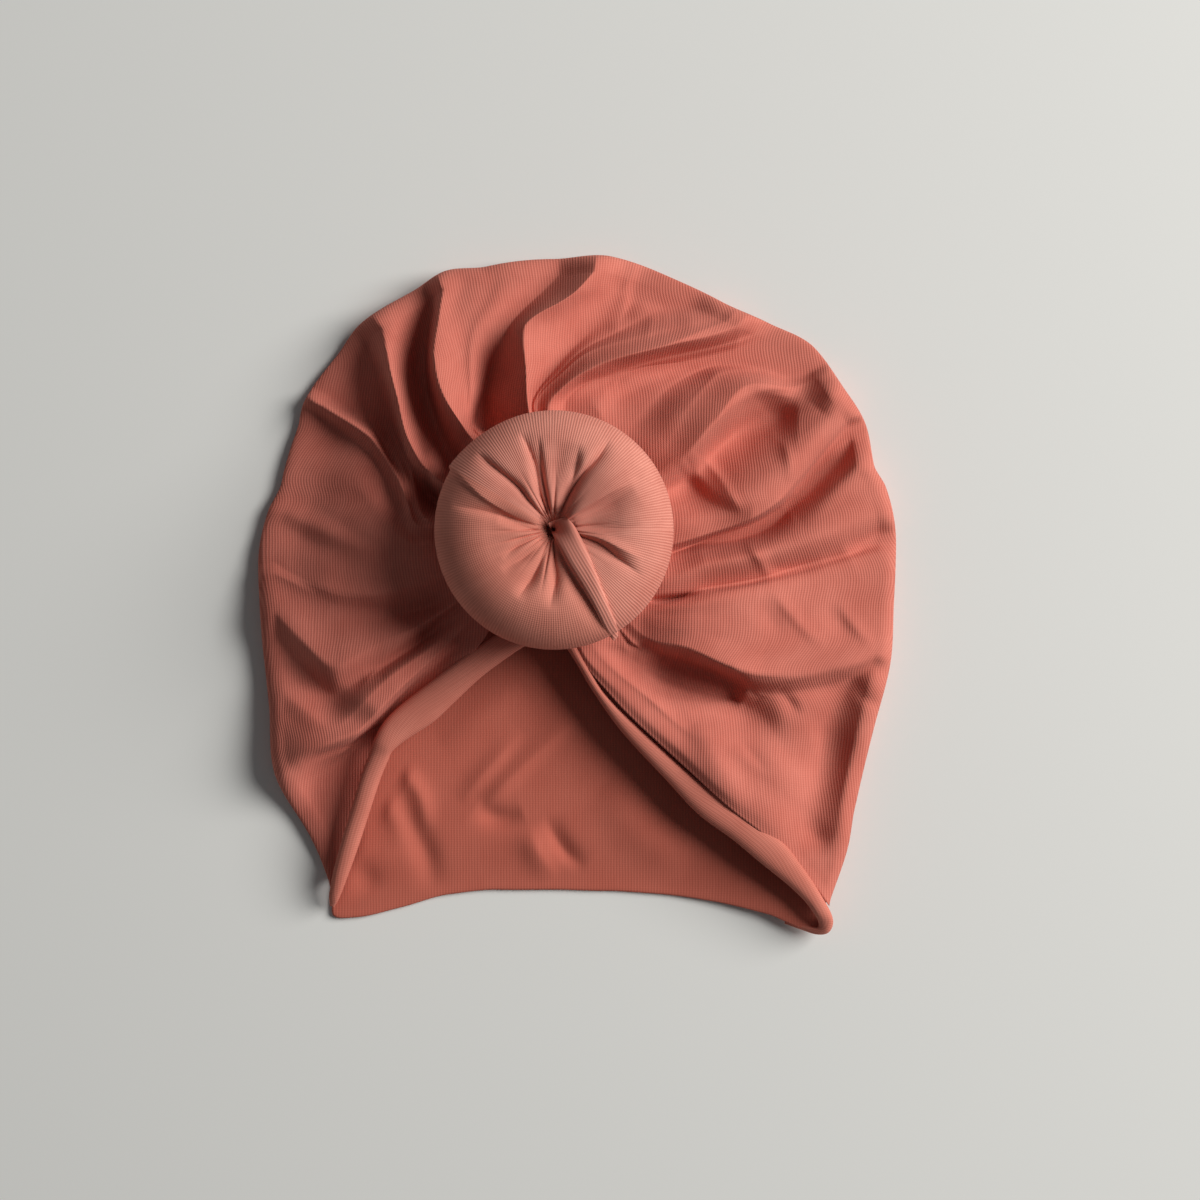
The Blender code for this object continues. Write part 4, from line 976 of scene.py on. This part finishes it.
@dataclass
class FrontPanel:
    """The gathered front panel, turned down and under along the crown."""

    plan: CapPlan
    view: CameraPlace
    wall: float = 0.0012
    crown_height: float = 0.0085
    crown_turn: float = 0.0045
    seat_height: float = 0.0175
    seat_radius: float = 0.0165
    knot_radius: float = 0.0312
    fold_rise: float = 0.0115
    dome_power: float = 1.5
    gather_start: float = 0.70
    gather_full: float = 1.08
    least_walls: float = 1.5
    steepest: float = 2.0
    soft_floor: float = 0.0008
    hole_radius: float = 0.0050
    bottom: float = 0.0018
    hidden_rows: int = 6
    seen_rows: int = 92
    seen_share: float = 0.27
    roll_rows: int = 10
    lining_step: int = 4
    column_step: float = 0.68

    def columns(self) -> list[tuple[int, float]]:
        """Where each column stands.

        Returns:
            For each column its fold line, and the part of the way on to the next.
        """
        places = []
        for k in range(len(FOLDS) - 1):
            widest = max(b - a for a, b in zip(FOLDS[k].bearing, FOLDS[k + 1].bearing))
            steps = max(3, round(widest / self.column_step))
            places += [(k, j / steps) for j in range(steps)]
        return places + [(len(FOLDS) - 2, 1.0)]

    @staticmethod
    def between(values: np.ndarray, places: list, crisp: np.ndarray) -> np.ndarray:
        """Values of fold lines at the columns, rounded or creased at each line.

        Args:
            values: A row of values for each fold line.
            places: Where each column stands.
            crisp: How crisp each fold line is.

        Returns:
            A row of values for each column.
        """
        rows = []
        for k, t in places:
            leave, arrive = crisp[k], crisp[k + 1]
            blend = 3 * t**2 - 2 * t**3 + leave * (t**3 - 2 * t**2 + t) + arrive * (t**3 - t**2)
            rows.append(values[k] + (values[k + 1] - values[k]) * blend)
        return np.array(rows)

    def height(self, distance: np.ndarray, reach: np.ndarray, rise: np.ndarray) -> np.ndarray:
        """Height of the sheet: a low dome down from the knot's seat, with the folds on it.

        Args:
            distance: Distances from the knot's middle.
            reach: The outline's distance at each.
            rise: Rise of the folds at each, as a share of their full height.

        Returns:
            The height at each.
        """
        crown = reach - self.crown_turn
        run = np.clip((distance - self.seat_radius) / (crown - self.seat_radius), 0.0, 1.0)
        dome = self.crown_height + (self.seat_height - self.crown_height) * (1.0 - run**self.dome_power)
        return dome + self.fold_rise * rise * self.gathered(distance)

    def gathered(self, distance: np.ndarray) -> np.ndarray:
        """How far the folds have risen out of the knot's seat, from 0 to 1."""
        start, full = self.gather_start * self.knot_radius, self.gather_full * self.knot_radius
        return smoothstep((distance - start) / (full - start))

    def grid(self) -> tuple[np.ndarray, np.ndarray, np.ndarray]:
        """The sheet's outer face up to the crown turn.

        Returns:
            X, Y and Z, each with a row of values for every column.
        """
        places = self.columns()
        crisp = np.array([fold.crisp for fold in FOLDS])
        bearings = np.array([fold.bearing for fold in FOLDS], float)
        rises = np.array([fold.rise for fold in FOLDS], float)
        spread = np.linspace(bearings[0, 0], bearings[-1, 0], len(places))
        bearing_knots = np.column_stack([spread, self.between(bearings, places, np.ones(len(FOLDS)))])
        rise_knots = self.between(rises, places, crisp)
        rim = self.plan.rim(bearing_knots[:, -1])
        steps = np.concatenate([
            np.linspace(0.0, self.seen_share, self.hidden_rows, endpoint=False),
            np.linspace(self.seen_share, 1.0, self.seen_rows),
        ])
        x, y, z, far = (np.zeros((len(places), len(steps))) for _ in range(4))
        for column in range(len(places)):
            first = self.hole_radius / rim[column]
            last = 1.0 - self.crown_turn / rim[column]
            shares = first + (last - first) * steps
            bearing = smooth_curve(shares, (first, *FOLD_SHARES), bearing_knots[column])
            reach = self.plan.rim(bearing)
            far[column] = self.hole_radius + (reach - self.crown_turn - self.hole_radius) * steps
            rise = smooth_curve(shares, FOLD_SHARES, rise_knots[column])
            x[column], y[column] = self.plan.point(bearing, far[column])
            z[column] = self.height(far[column], reach, rise)
        relief = Relief(FRONT_CREASES, self.plan.photo_place)
        z += relief.rise(x.ravel(), y.ravel()).reshape(z.shape) * self.gathered(far)
        lowest = self.bottom + self.least_walls * self.wall
        z = lowest + self.soft_floor * np.logaddexp(0.0, (z - lowest) / self.soft_floor)
        return x, y, z

    def lining(self, x: np.ndarray, y: np.ndarray, z: np.ndarray) -> np.ndarray:
        """Height of the sheet's inner face, one wall below the outer one also where that is steep.

        Args:
            x: X of the outer face.
            y: Y of the outer face.
            z: Height of the outer face.

        Returns:
            The height under each of its points.
        """
        along = np.gradient(z, axis=1) / np.hypot(np.gradient(x, axis=1), np.gradient(y, axis=1))
        around = np.gradient(z, axis=0) / np.hypot(np.gradient(x, axis=0), np.gradient(y, axis=0))
        upright = self.wall * np.minimum(np.sqrt(1.0 + along**2 + around**2), self.steepest)
        under = np.maximum(z - upright, self.bottom)
        for shift in range(1, self.lining_step):
            under[:, shift:] = np.minimum(under[:, shift:], (z - upright)[:, :-shift])
            under[:, :-shift] = np.minimum(under[:, :-shift], (z - upright)[:, shift:])
        under = np.maximum(under, self.bottom)
        under[:, -1] = z[:, -1] - self.wall
        return under

    def build(self, shop: ClothShop) -> bpy.types.Object:
        """The finished panel.

        Args:
            shop: What makes its mesh and material.

        Returns:
            The object `front_panel`.
        """
        x, y, z = self.grid()
        count, rows = x.shape
        under = self.lining(x, y, z)
        kept = list(range(0, rows - 1, self.lining_step)) + [rows - 1]
        edge = np.column_stack([x[:, -1], y[:, -1]])
        out = edge - np.array(self.plan.knot)
        out /= np.linalg.norm(out, axis=1)[:, None]
        middle, half = (z[:, -1] + self.bottom) / 2, (z[:, -1] - self.bottom) / 2
        outer = [np.stack([x, y, z], axis=2)]
        inner = [np.stack([x, y, under], axis=2)[:, kept]]
        for step in range(1, self.roll_rows + 1):
            angle = math.pi / 2 - math.pi * step / self.roll_rows
            place = edge + out * self.crown_turn * math.cos(angle)
            outer.append(np.column_stack([place, middle + half * math.sin(angle)])[:, None])
            if step % 2 == 0:
                place = edge + out * (self.crown_turn - self.wall) * math.cos(angle)
                level = middle + (half - self.wall) * math.sin(angle)
                inner.append(np.column_stack([place, level])[:, None])
        kept += [rows - 1 + step for step in range(2, self.roll_rows + 1, 2)]
        outer, inner = np.concatenate(outer, axis=1), np.concatenate(inner, axis=1)
        points = np.concatenate([outer.reshape(-1, 3), inner.reshape(-1, 3)])
        faces = self.faces(count, outer.shape[1], inner.shape[1], kept)
        lengths = cloth_lengths(*points.T)
        points[:, 0], points[:, 1] = self.view.brought_in(*points.T)
        return shop.piece("front_panel", points, faces, lengths, (FRONT_JERSEY,))

    @staticmethod
    def faces(count: int, rows: int, lining_rows: int, kept: list[int]) -> list[tuple]:
        """Faces of the sheet, of its lining face, and of the edges between them.

        Args:
            count: Columns.
            rows: Rows of the outer face.
            lining_rows: Rows of the inner face.
            kept: The outer row over each inner one.

        Returns:
            Rows of point numbers.
        """
        base = count * rows
        faces = []
        for c in range(count - 1):
            here, there = c * rows, (c + 1) * rows
            faces += strip_faces(here, there, rows)
            low, high = base + c * lining_rows, base + (c + 1) * lining_rows
            faces += strip_faces(high, low, lining_rows)
            faces.append((there, high, low, here))
            faces.append((here + rows - 1, low + lining_rows - 1, high + lining_rows - 1, there + rows - 1))
        for column, first in ((0, True), (count - 1, False)):
            over, under = column * rows, base + column * lining_rows
            for r in range(lining_rows - 1):
                edge = [over + k for k in range(kept[r], kept[r + 1] + 1)] + [under + r + 1, under + r]
                faces.append(tuple(edge[::-1]) if first else tuple(edge))
        return faces


@dataclass
class BackPanel:
    """The back panel, flat on the surface, seen through the mouth."""

    plan: CapPlan
    wall: float = 0.0015
    inset: float = 0.0016
    edge_round: float = 0.0007
    corner_left: float = 237.6
    corner_right: float = 306.2
    corner_turn: float = 3.0
    fine_step: float = 0.4
    coarse_step: float = 3.0
    rows: int = 104
    loft: float = 0.0016
    loft_share: float = 0.16
    lift: float = 0.0040
    lift_start: float = 0.78
    lift_width: float = 11.0
    beyond_corner: float = 8.0
    shown_share: float = 0.03
    edge_angles: tuple[int, ...] = (60, 30, 0, -30, -60, -90)
    middle_share: float = 0.02
    under_shares: tuple[float, ...] = (0.97, 0.94, 0.90, 0.86, 0.82, 0.78, 0.4, 0.02)

    def columns(self) -> np.ndarray:
        """Bearings of the columns, fine where the mouth bares the panel and coarse elsewhere."""
        start, end = self.corner_left - self.beyond_corner, self.corner_right + self.beyond_corner
        fine = np.arange(start, end, self.fine_step)
        last = fine[0] + 360.0 - 0.5 * self.coarse_step
        coarse = np.arange(fine[-1] + self.coarse_step, last, self.coarse_step)
        return np.mod(np.concatenate([fine, coarse]), 360.0)

    def build(self, shop: ClothShop) -> bpy.types.Object:
        """The finished panel, with soft wrinkles, a rounded nape edge and one lifted corner.

        Args:
            shop: What makes its mesh and material.

        Returns:
            The object `back_panel`.
        """
        bearings = self.columns()
        bare = smoothstep((bearings - self.corner_left) / self.corner_turn)
        bare = bare * smoothstep((self.corner_right - bearings) / self.corner_turn)
        rim = self.plan.rim(bearings) - self.inset * (1.0 - bare)
        shares = np.linspace(self.middle_share, 1.0, self.rows)
        distance = np.outer(rim - self.edge_round, shares)
        x, y = self.plan.point(bearings[:, None], distance)
        relief = Relief(BACK_CREASES, self.plan.photo_place)
        shown = smoothstep((1.0 - shares) / self.shown_share)[None, :]
        near_corner = np.exp(-(((bearings - self.corner_right) / self.lift_width) ** 2))
        loft = self.loft * smoothstep((1.0 - shares) / self.loft_share)[None, :]
        loft = loft * (1.0 - near_corner)[:, None]
        corner = near_corner * self.lift
        raised = corner[:, None] * smoothstep((shares - self.lift_start) / (1.0 - self.lift_start))[None, :]
        z = self.wall + loft + raised
        z = z + relief.rise(x.ravel(), y.ravel()).reshape(x.shape) * shown * bare[:, None]
        rings = [np.stack([x, y, z], axis=2)]
        for angle in self.edge_angles:
            turn = math.radians(angle)
            out = rim - self.edge_round * (1.0 - math.cos(turn))
            px, py = self.plan.point(bearings, out)
            level = self.wall / 2 * (1.0 + math.sin(turn)) + corner
            rings.append(np.column_stack([px, py, level])[:, None])
        for share in self.under_shares:
            px, py = self.plan.point(bearings, rim * share)
            under = corner * smoothstep(np.array((share - self.lift_start) / (1.0 - self.lift_start)))
            rings.append(np.column_stack([px, py, under])[:, None])
        grid = np.concatenate(rings, axis=1)
        points = grid.reshape(-1, 3)
        faces = round_faces(*grid.shape[:2])
        return shop.piece("back_panel", points, faces, points[:, :2].copy(), (BACK_JERSEY,))


@dataclass
class MouthHem:
    """A rolled hem along one side of the mouth."""

    name: str
    rows: tuple
    view: CameraPlace
    steps: int = 14
    sides: int = 36
    squareness: float = 2.3
    girth: float = 2.2
    floor: float = 0.0018

    def build(self, shop: ClothShop) -> bpy.types.Object:
        """The roll, lofted between the two edges of its table.

        Args:
            shop: What makes its mesh and material.

        Returns:
            The object, under the hem's own name.
        """
        path = rounded_path(np.array(self.rows, float) * MM, self.steps)
        angle = np.linspace(0.0, 2 * math.pi, self.sides, endpoint=False)
        across = np.sign(np.cos(angle)) * np.abs(np.cos(angle)) ** (2 / self.squareness)
        up = np.sign(np.sin(angle)) * np.abs(np.sin(angle)) ** (2 / self.squareness)
        outer, inner = path[:, 0:2], path[:, 2:4]
        middle, half = (outer + inner) / 2, (outer - inner) / 2
        x = middle[:, :1] + half[:, :1] * across
        y = middle[:, 1:] + half[:, 1:] * across
        thick = path[:, 5:6]
        z = np.maximum(path[:, 4:5] - thick / 2 + thick / 2 * up, self.floor)
        run = path_lengths(middle)
        around = np.hypot(half[:, 0], half[:, 1])[:, None] * (angle / math.pi * self.girth)[None, :]
        lengths = np.stack([around, np.repeat(run[:, None], self.sides, axis=1)], axis=2).reshape(-1, 2)
        px, py = self.view.brought_in(x, y, z)
        points = np.stack([px, py, z], axis=2).reshape(-1, 3)
        faces = tube_faces(len(path), self.sides)
        obj = shop.piece(self.name, points, faces, lengths, (HEM_JERSEY,))
        turn_outwards(obj)
        return obj


def turn_outwards(obj: bpy.types.Object) -> None:
    """Turns all the faces of a closed piece outwards.

    Args:
        obj: The piece.
    """
    bpy.ops.object.select_all(action="DESELECT")
    obj.select_set(True)
    bpy.context.view_layer.objects.active = obj
    bpy.ops.object.mode_set(mode="EDIT")
    bpy.ops.mesh.select_all(action="SELECT")
    bpy.ops.mesh.normals_make_consistent(inside=False)
    bpy.ops.object.mode_set(mode="OBJECT")


@dataclass
class PaddedKnot:
    """The padded ring with its cover gathered into the middle."""

    middle: tuple[float, float] = (-0.0058, 0.0166)
    seat: float = 0.0170
    radius: float = 0.0315
    thickness: float = 0.0262
    flat_radius: float = 0.0165
    dimple_radius: float = 0.0090
    dimple_depth: float = 0.0112
    dimple_fall: float = 2.0
    pleats: int = 23
    pleat_depth: float = 0.0010
    pleat_power: float = 1.6
    pleat_spread: float = 0.4
    pleat_start: float = 0.10
    pleat_end: float = 0.62
    pleat_fade: float = 0.45
    pleat_wander: tuple[tuple[float, float, float], ...] = ((0.16, 3.0, 0.7), (0.09, 5.0, 2.0))
    equator_share: float = 0.48
    crest_share: float = 0.35
    floor_share: float = 0.03
    columns: int = 576
    inner_rows: int = 70
    outer_rows: int = 34
    under_rows: int = 14
    seam_bearing: float = 148.5
    lip_bearing: float = -62.0

    def profile(self) -> np.ndarray:
        """The knot's outline in section, from the floor of the dimple to the underside.

        Returns:
            Rows of radius and height above the seat.
        """
        top, equator = self.thickness, self.equator_share * self.thickness
        crest = (self.radius + self.dimple_radius * self.crest_share) / 2
        floor = self.dimple_radius * self.floor_share
        rows = []
        for t in np.linspace(1.0, 0.5, self.inner_rows, endpoint=False):
            angle = math.pi * t
            rise = (1.0 - math.sin(angle)) ** self.dimple_fall
            rows.append((crest + (crest - floor) * math.cos(angle), top - self.dimple_depth * rise))
        for t in np.linspace(0.0, 1.0, self.outer_rows, endpoint=False):
            angle = math.pi / 2 * (1.0 - t)
            reach = crest + (self.radius - crest) * math.cos(angle)
            rows.append((reach, equator + (top - equator) * math.sin(angle)))
        for t in np.linspace(0.0, 1.0, self.under_rows):
            angle = math.pi / 2 * t
            reach = self.flat_radius + (self.radius - self.flat_radius) * math.cos(angle)
            rows.append((reach, equator * (1.0 - math.sin(angle))))
        return np.array(rows)

    def placed(self, bearing: float, share: float) -> tuple[float, float]:
        """X and Y on the cover, about the knot's own middle."""
        angle = math.radians(bearing)
        return self.radius * share * math.cos(angle), self.radius * share * math.sin(angle)

    def level(self, x: np.ndarray, y: np.ndarray) -> np.ndarray:
        """Height of the cover without its creases.

        Args:
            x: X of each place.
            y: Y of each place.

        Returns:
            The height over each place.
        """
        rows = self.profile()[: self.inner_rows + self.outer_rows]
        reach = np.hypot(x - self.middle[0], y - self.middle[1])
        return self.seat + np.interp(reach, rows[:, 0], rows[:, 1])

    def gathers(self, angle: np.ndarray, reach: np.ndarray) -> np.ndarray:
        """Depth of the fine pleats that run into the middle of the cover.

        Args:
            angle: Bearing of each column.
            reach: Radius of each row.

        Returns:
            The depth for each column and row.
        """
        bent = angle
        for size, turns, start in self.pleat_wander:
            bent = bent + size * np.sin(turns * angle + start)
        wave = 1.0 - np.abs(np.sin(bent * self.pleats / 2.0))
        size = 1.0 - self.pleat_spread + self.pleat_spread * np.sin(4.0 * angle + 1.0)
        share = reach / self.radius
        fade = smoothstep((self.pleat_end - share) / self.pleat_fade) * smoothstep(share / self.pleat_start)
        return self.pleat_depth * np.outer(wave**self.pleat_power * size, fade)

    def build(self, shop: ClothShop) -> bpy.types.Object:
        """The knot, as one closed cover.

        Args:
            shop: What makes its mesh and materials.

        Returns:
            The object `padded_knot`.
        """
        rows = self.profile()
        angle = np.linspace(0.0, 2 * math.pi, self.columns, endpoint=False)
        reach, height = rows[:, 0], rows[:, 1]
        slope = np.gradient(rows, axis=0)
        slope /= np.linalg.norm(slope, axis=1)[:, None]
        out_reach, out_height = -slope[:, 1], slope[:, 0]
        flip = -1.0 if out_height[self.inner_rows] < 0 else 1.0
        x = reach[None, :] * np.cos(angle)[:, None]
        y = reach[None, :] * np.sin(angle)[:, None]
        relief = Relief(KNOT_CREASES, self.placed)
        top = self.inner_rows + self.outer_rows
        away = relief.rise(x.ravel(), y.ravel()).reshape(x.shape)
        away -= self.gathers(angle, reach)
        away[:, top:] *= np.linspace(1.0, 0.0, self.under_rows)[None, :]
        bent_reach = reach[None, :] + away * (out_reach * flip)[None, :]
        z = height[None, :] + away * (out_height * flip)[None, :] + self.seat
        x = bent_reach * np.cos(angle)[:, None] + self.middle[0]
        y = bent_reach * np.sin(angle)[:, None] + self.middle[1]
        points = np.stack([x, y, np.maximum(z, self.seat)], axis=2).reshape(-1, 3)
        count, size = len(angle), len(rows)
        faces = round_faces(count, size)
        ribbed = (self.seam_bearing - self.lip_bearing) % 360.0
        worn = []
        for bearing in np.degrees(angle):
            worn += [0 if (bearing - self.lip_bearing) % 360.0 < ribbed else 1] * (size - 1)
        worn += [1, 1]
        run = path_lengths(rows)
        around = (angle * self.radius)[:, None] * np.ones(size)[None, :]
        lengths = np.stack([around, np.repeat(run[None, :], count, axis=0)], axis=2).reshape(-1, 2)
        circle = 2 * math.pi * self.radius
        obj = shop.piece("padded_knot", points, faces, lengths, (COVER_RIBS, COVER_GRID), worn, circle)
        turn_outwards(obj)
        return obj


# Edges of the lip that is folded over the knot, read off the photo from the dimple to the rim, with
# its rise above the cover in mm
LipRow = namedtuple("LipRow", "left_across left_down right_across right_down rise")
LIP = (
    LipRow(548, 523, 564, 516, -1.8),
    LipRow(551, 531, 573, 524, 0.4),
    LipRow(557, 544, 580, 536, 1.1),
    LipRow(566, 561, 588, 552, 1.4),
    LipRow(578, 581, 597, 573, 1.5),
    LipRow(589, 599, 605, 594, 1.5),
    LipRow(597, 614, 611, 609, 1.4),
    LipRow(604, 628, 616, 622, 1.2),
    LipRow(610, 637, 618, 631, 0.8),
    LipRow(614, 641, 618, 637, -0.6),
)


@dataclass
class KnotLip:
    """The narrow folded lip that runs from the dimple over the ring."""

    plan: CapPlan
    view: CameraPlace
    knot: PaddedKnot
    steps: int = 14
    across: int = 26
    droop: float = 0.25
    dome_power: int = 4
    dome_round: float = 0.6
    buried: float = 0.0012
    seatings: int = 3

    def build(self, shop: ClothShop) -> bpy.types.Object:
        """The lip, lofted over the knot's cover.

        Args:
            shop: What makes its mesh and material.

        Returns:
            The object `knot_lip`.
        """
        edges = []
        for row in LIP:
            left = self.plan.photo_place(row.left_across, row.left_down)
            right = self.plan.photo_place(row.right_across, row.right_down)
            edges.append((*left, *right, row.rise * MM))
        path = rounded_path(np.array(edges), self.steps)
        share = np.linspace(0.0, 1.0, self.across)
        dome = (1.0 - np.abs(2.0 * share - 1.0) ** self.dome_power) ** self.dome_round
        dome = dome * (1.0 - self.droop + self.droop * share)
        x = path[:, 0:1] + (path[:, 2:3] - path[:, 0:1]) * share
        y = path[:, 1:2] + (path[:, 3:4] - path[:, 1:2]) * share
        z = np.full(x.shape, self.knot.seat + self.knot.thickness)
        for _ in range(self.seatings):
            px, py = self.view.brought_in(x, y, z)
            z = self.knot.level(px, py)
        over = z + path[:, 4:5] * dome - self.buried * (1.0 - dome) * 0.5
        under = z - self.buried
        upper, lower = np.stack([px, py, over], axis=2), np.stack([px, py, under], axis=2)
        ring = np.concatenate([upper, lower[:, ::-1]], axis=1)
        count, size = ring.shape[:2]
        faces = tube_faces(count, size)
        run = path_lengths(ring[:, 0, :2])
        wide = np.hypot(px[:, -1] - px[:, 0], py[:, -1] - py[:, 0])
        sideways = np.outer(wide, np.concatenate([share, share[::-1]]))
        lengths = np.stack([sideways, np.repeat(run[:, None], size, axis=1)], axis=2).reshape(-1, 2)
        obj = shop.piece("knot_lip", ring.reshape(-1, 3), faces, lengths, (COVER_RIBS,))
        turn_outwards(obj)
        return obj


@dataclass
class Studio:
    """A pale floor, one soft light from the right, a dim room, and the camera straight above."""

    view: CameraPlace
    floor_size: float = 3.0
    floor_colour: tuple[float, float, float] = (0.80, 0.80, 0.775)
    floor_roughness: float = 0.7
    floor_specular: float = 0.3
    key_bearing: float = 19.0
    key_rise: float = 35.0
    key_distance: float = 2.2
    key_size: float = 1.5
    key_power: float = 62.0
    key_colour: tuple[float, float, float] = (1.0, 0.985, 0.96)
    room_colour: tuple[float, float, float] = (0.93, 0.97, 1.0)
    ambient: float = 0.10
    sensor: float = 36.0

    def build(self) -> None:
        """Floor, light, world and camera."""
        self.lay_floor()
        self.hang_light()
        self.light_room()
        self.place_camera()

    def lay_floor(self) -> None:
        """A wide pale floor at the height on which the hat lies."""
        bpy.ops.mesh.primitive_plane_add(size=self.floor_size, location=(0.0, 0.0, 0.0))
        floor = bpy.context.active_object
        floor.name = "floor"
        material = bpy.data.materials.new("pale_board")
        material.use_nodes = True
        shader = material.node_tree.nodes["Principled BSDF"]
        shader.inputs["Base Color"].default_value = (*self.floor_colour, 1.0)
        shader.inputs["Roughness"].default_value = self.floor_roughness
        shader.inputs["Specular IOR Level"].default_value = self.floor_specular
        floor.data.materials.append(material)

    def hang_light(self) -> None:
        """A round soft light, turned to the hat."""
        turn, tilt = math.radians(self.key_bearing), math.radians(self.key_rise)
        place = np.array([math.cos(turn) * math.cos(tilt), math.sin(turn) * math.cos(tilt), math.sin(tilt)])
        light = bpy.data.lights.new("key", "AREA")
        light.shape = "DISK"
        light.size = self.key_size
        light.energy = self.key_power
        light.color = self.key_colour
        lamp = bpy.data.objects.new("key", light)
        lamp.location = tuple(place * self.key_distance)
        lamp.rotation_euler = (0.0, math.pi / 2 - tilt, turn)
        bpy.context.scene.collection.objects.link(lamp)

    def light_room(self) -> None:
        """A faint even light from all round."""
        world = bpy.data.worlds.new("soft_room")
        world.use_nodes = True
        background = world.node_tree.nodes["Background"]
        background.inputs["Color"].default_value = (*self.room_colour, 1.0)
        background.inputs["Strength"].default_value = self.ambient
        bpy.context.scene.world = world

    def place_camera(self) -> None:
        """The camera over the hat, looking straight down."""
        camera = bpy.data.cameras.new("camera")
        camera.lens = self.view.lens
        camera.sensor_width = self.sensor
        eye = bpy.data.objects.new("camera", camera)
        eye.location = (self.view.x, self.view.y, self.view.height)
        bpy.context.scene.collection.objects.link(eye)
        bpy.context.scene.camera = eye
        bpy.context.scene.view_settings.view_transform = "Standard"


def main() -> None:
    """Builds the headwrap's pieces in order, then the studio."""
    logging.basicConfig(level=logging.INFO, format="%(message)s")
    plan, view, shop = CapPlan(), CameraPlace(), ClothShop()
    front = FrontPanel(plan, view).build(shop)
    back = BackPanel(plan).build(shop)
    left = MouthHem("mouth_hem_left", LEFT_HEM, view).build(shop)
    right = MouthHem("mouth_hem_right", RIGHT_HEM, view).build(shop)
    ring = PaddedKnot()
    knot = ring.build(shop)
    lip = KnotLip(plan, view, ring).build(shop)
    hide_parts("crown_front")
    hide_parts("crown_back")
    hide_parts("hem_left")
    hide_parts("hem_right")
    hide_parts("knot_ring")
    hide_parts("knot_strap")
    Studio(view).build()


if __name__ == "__main__":
    main()
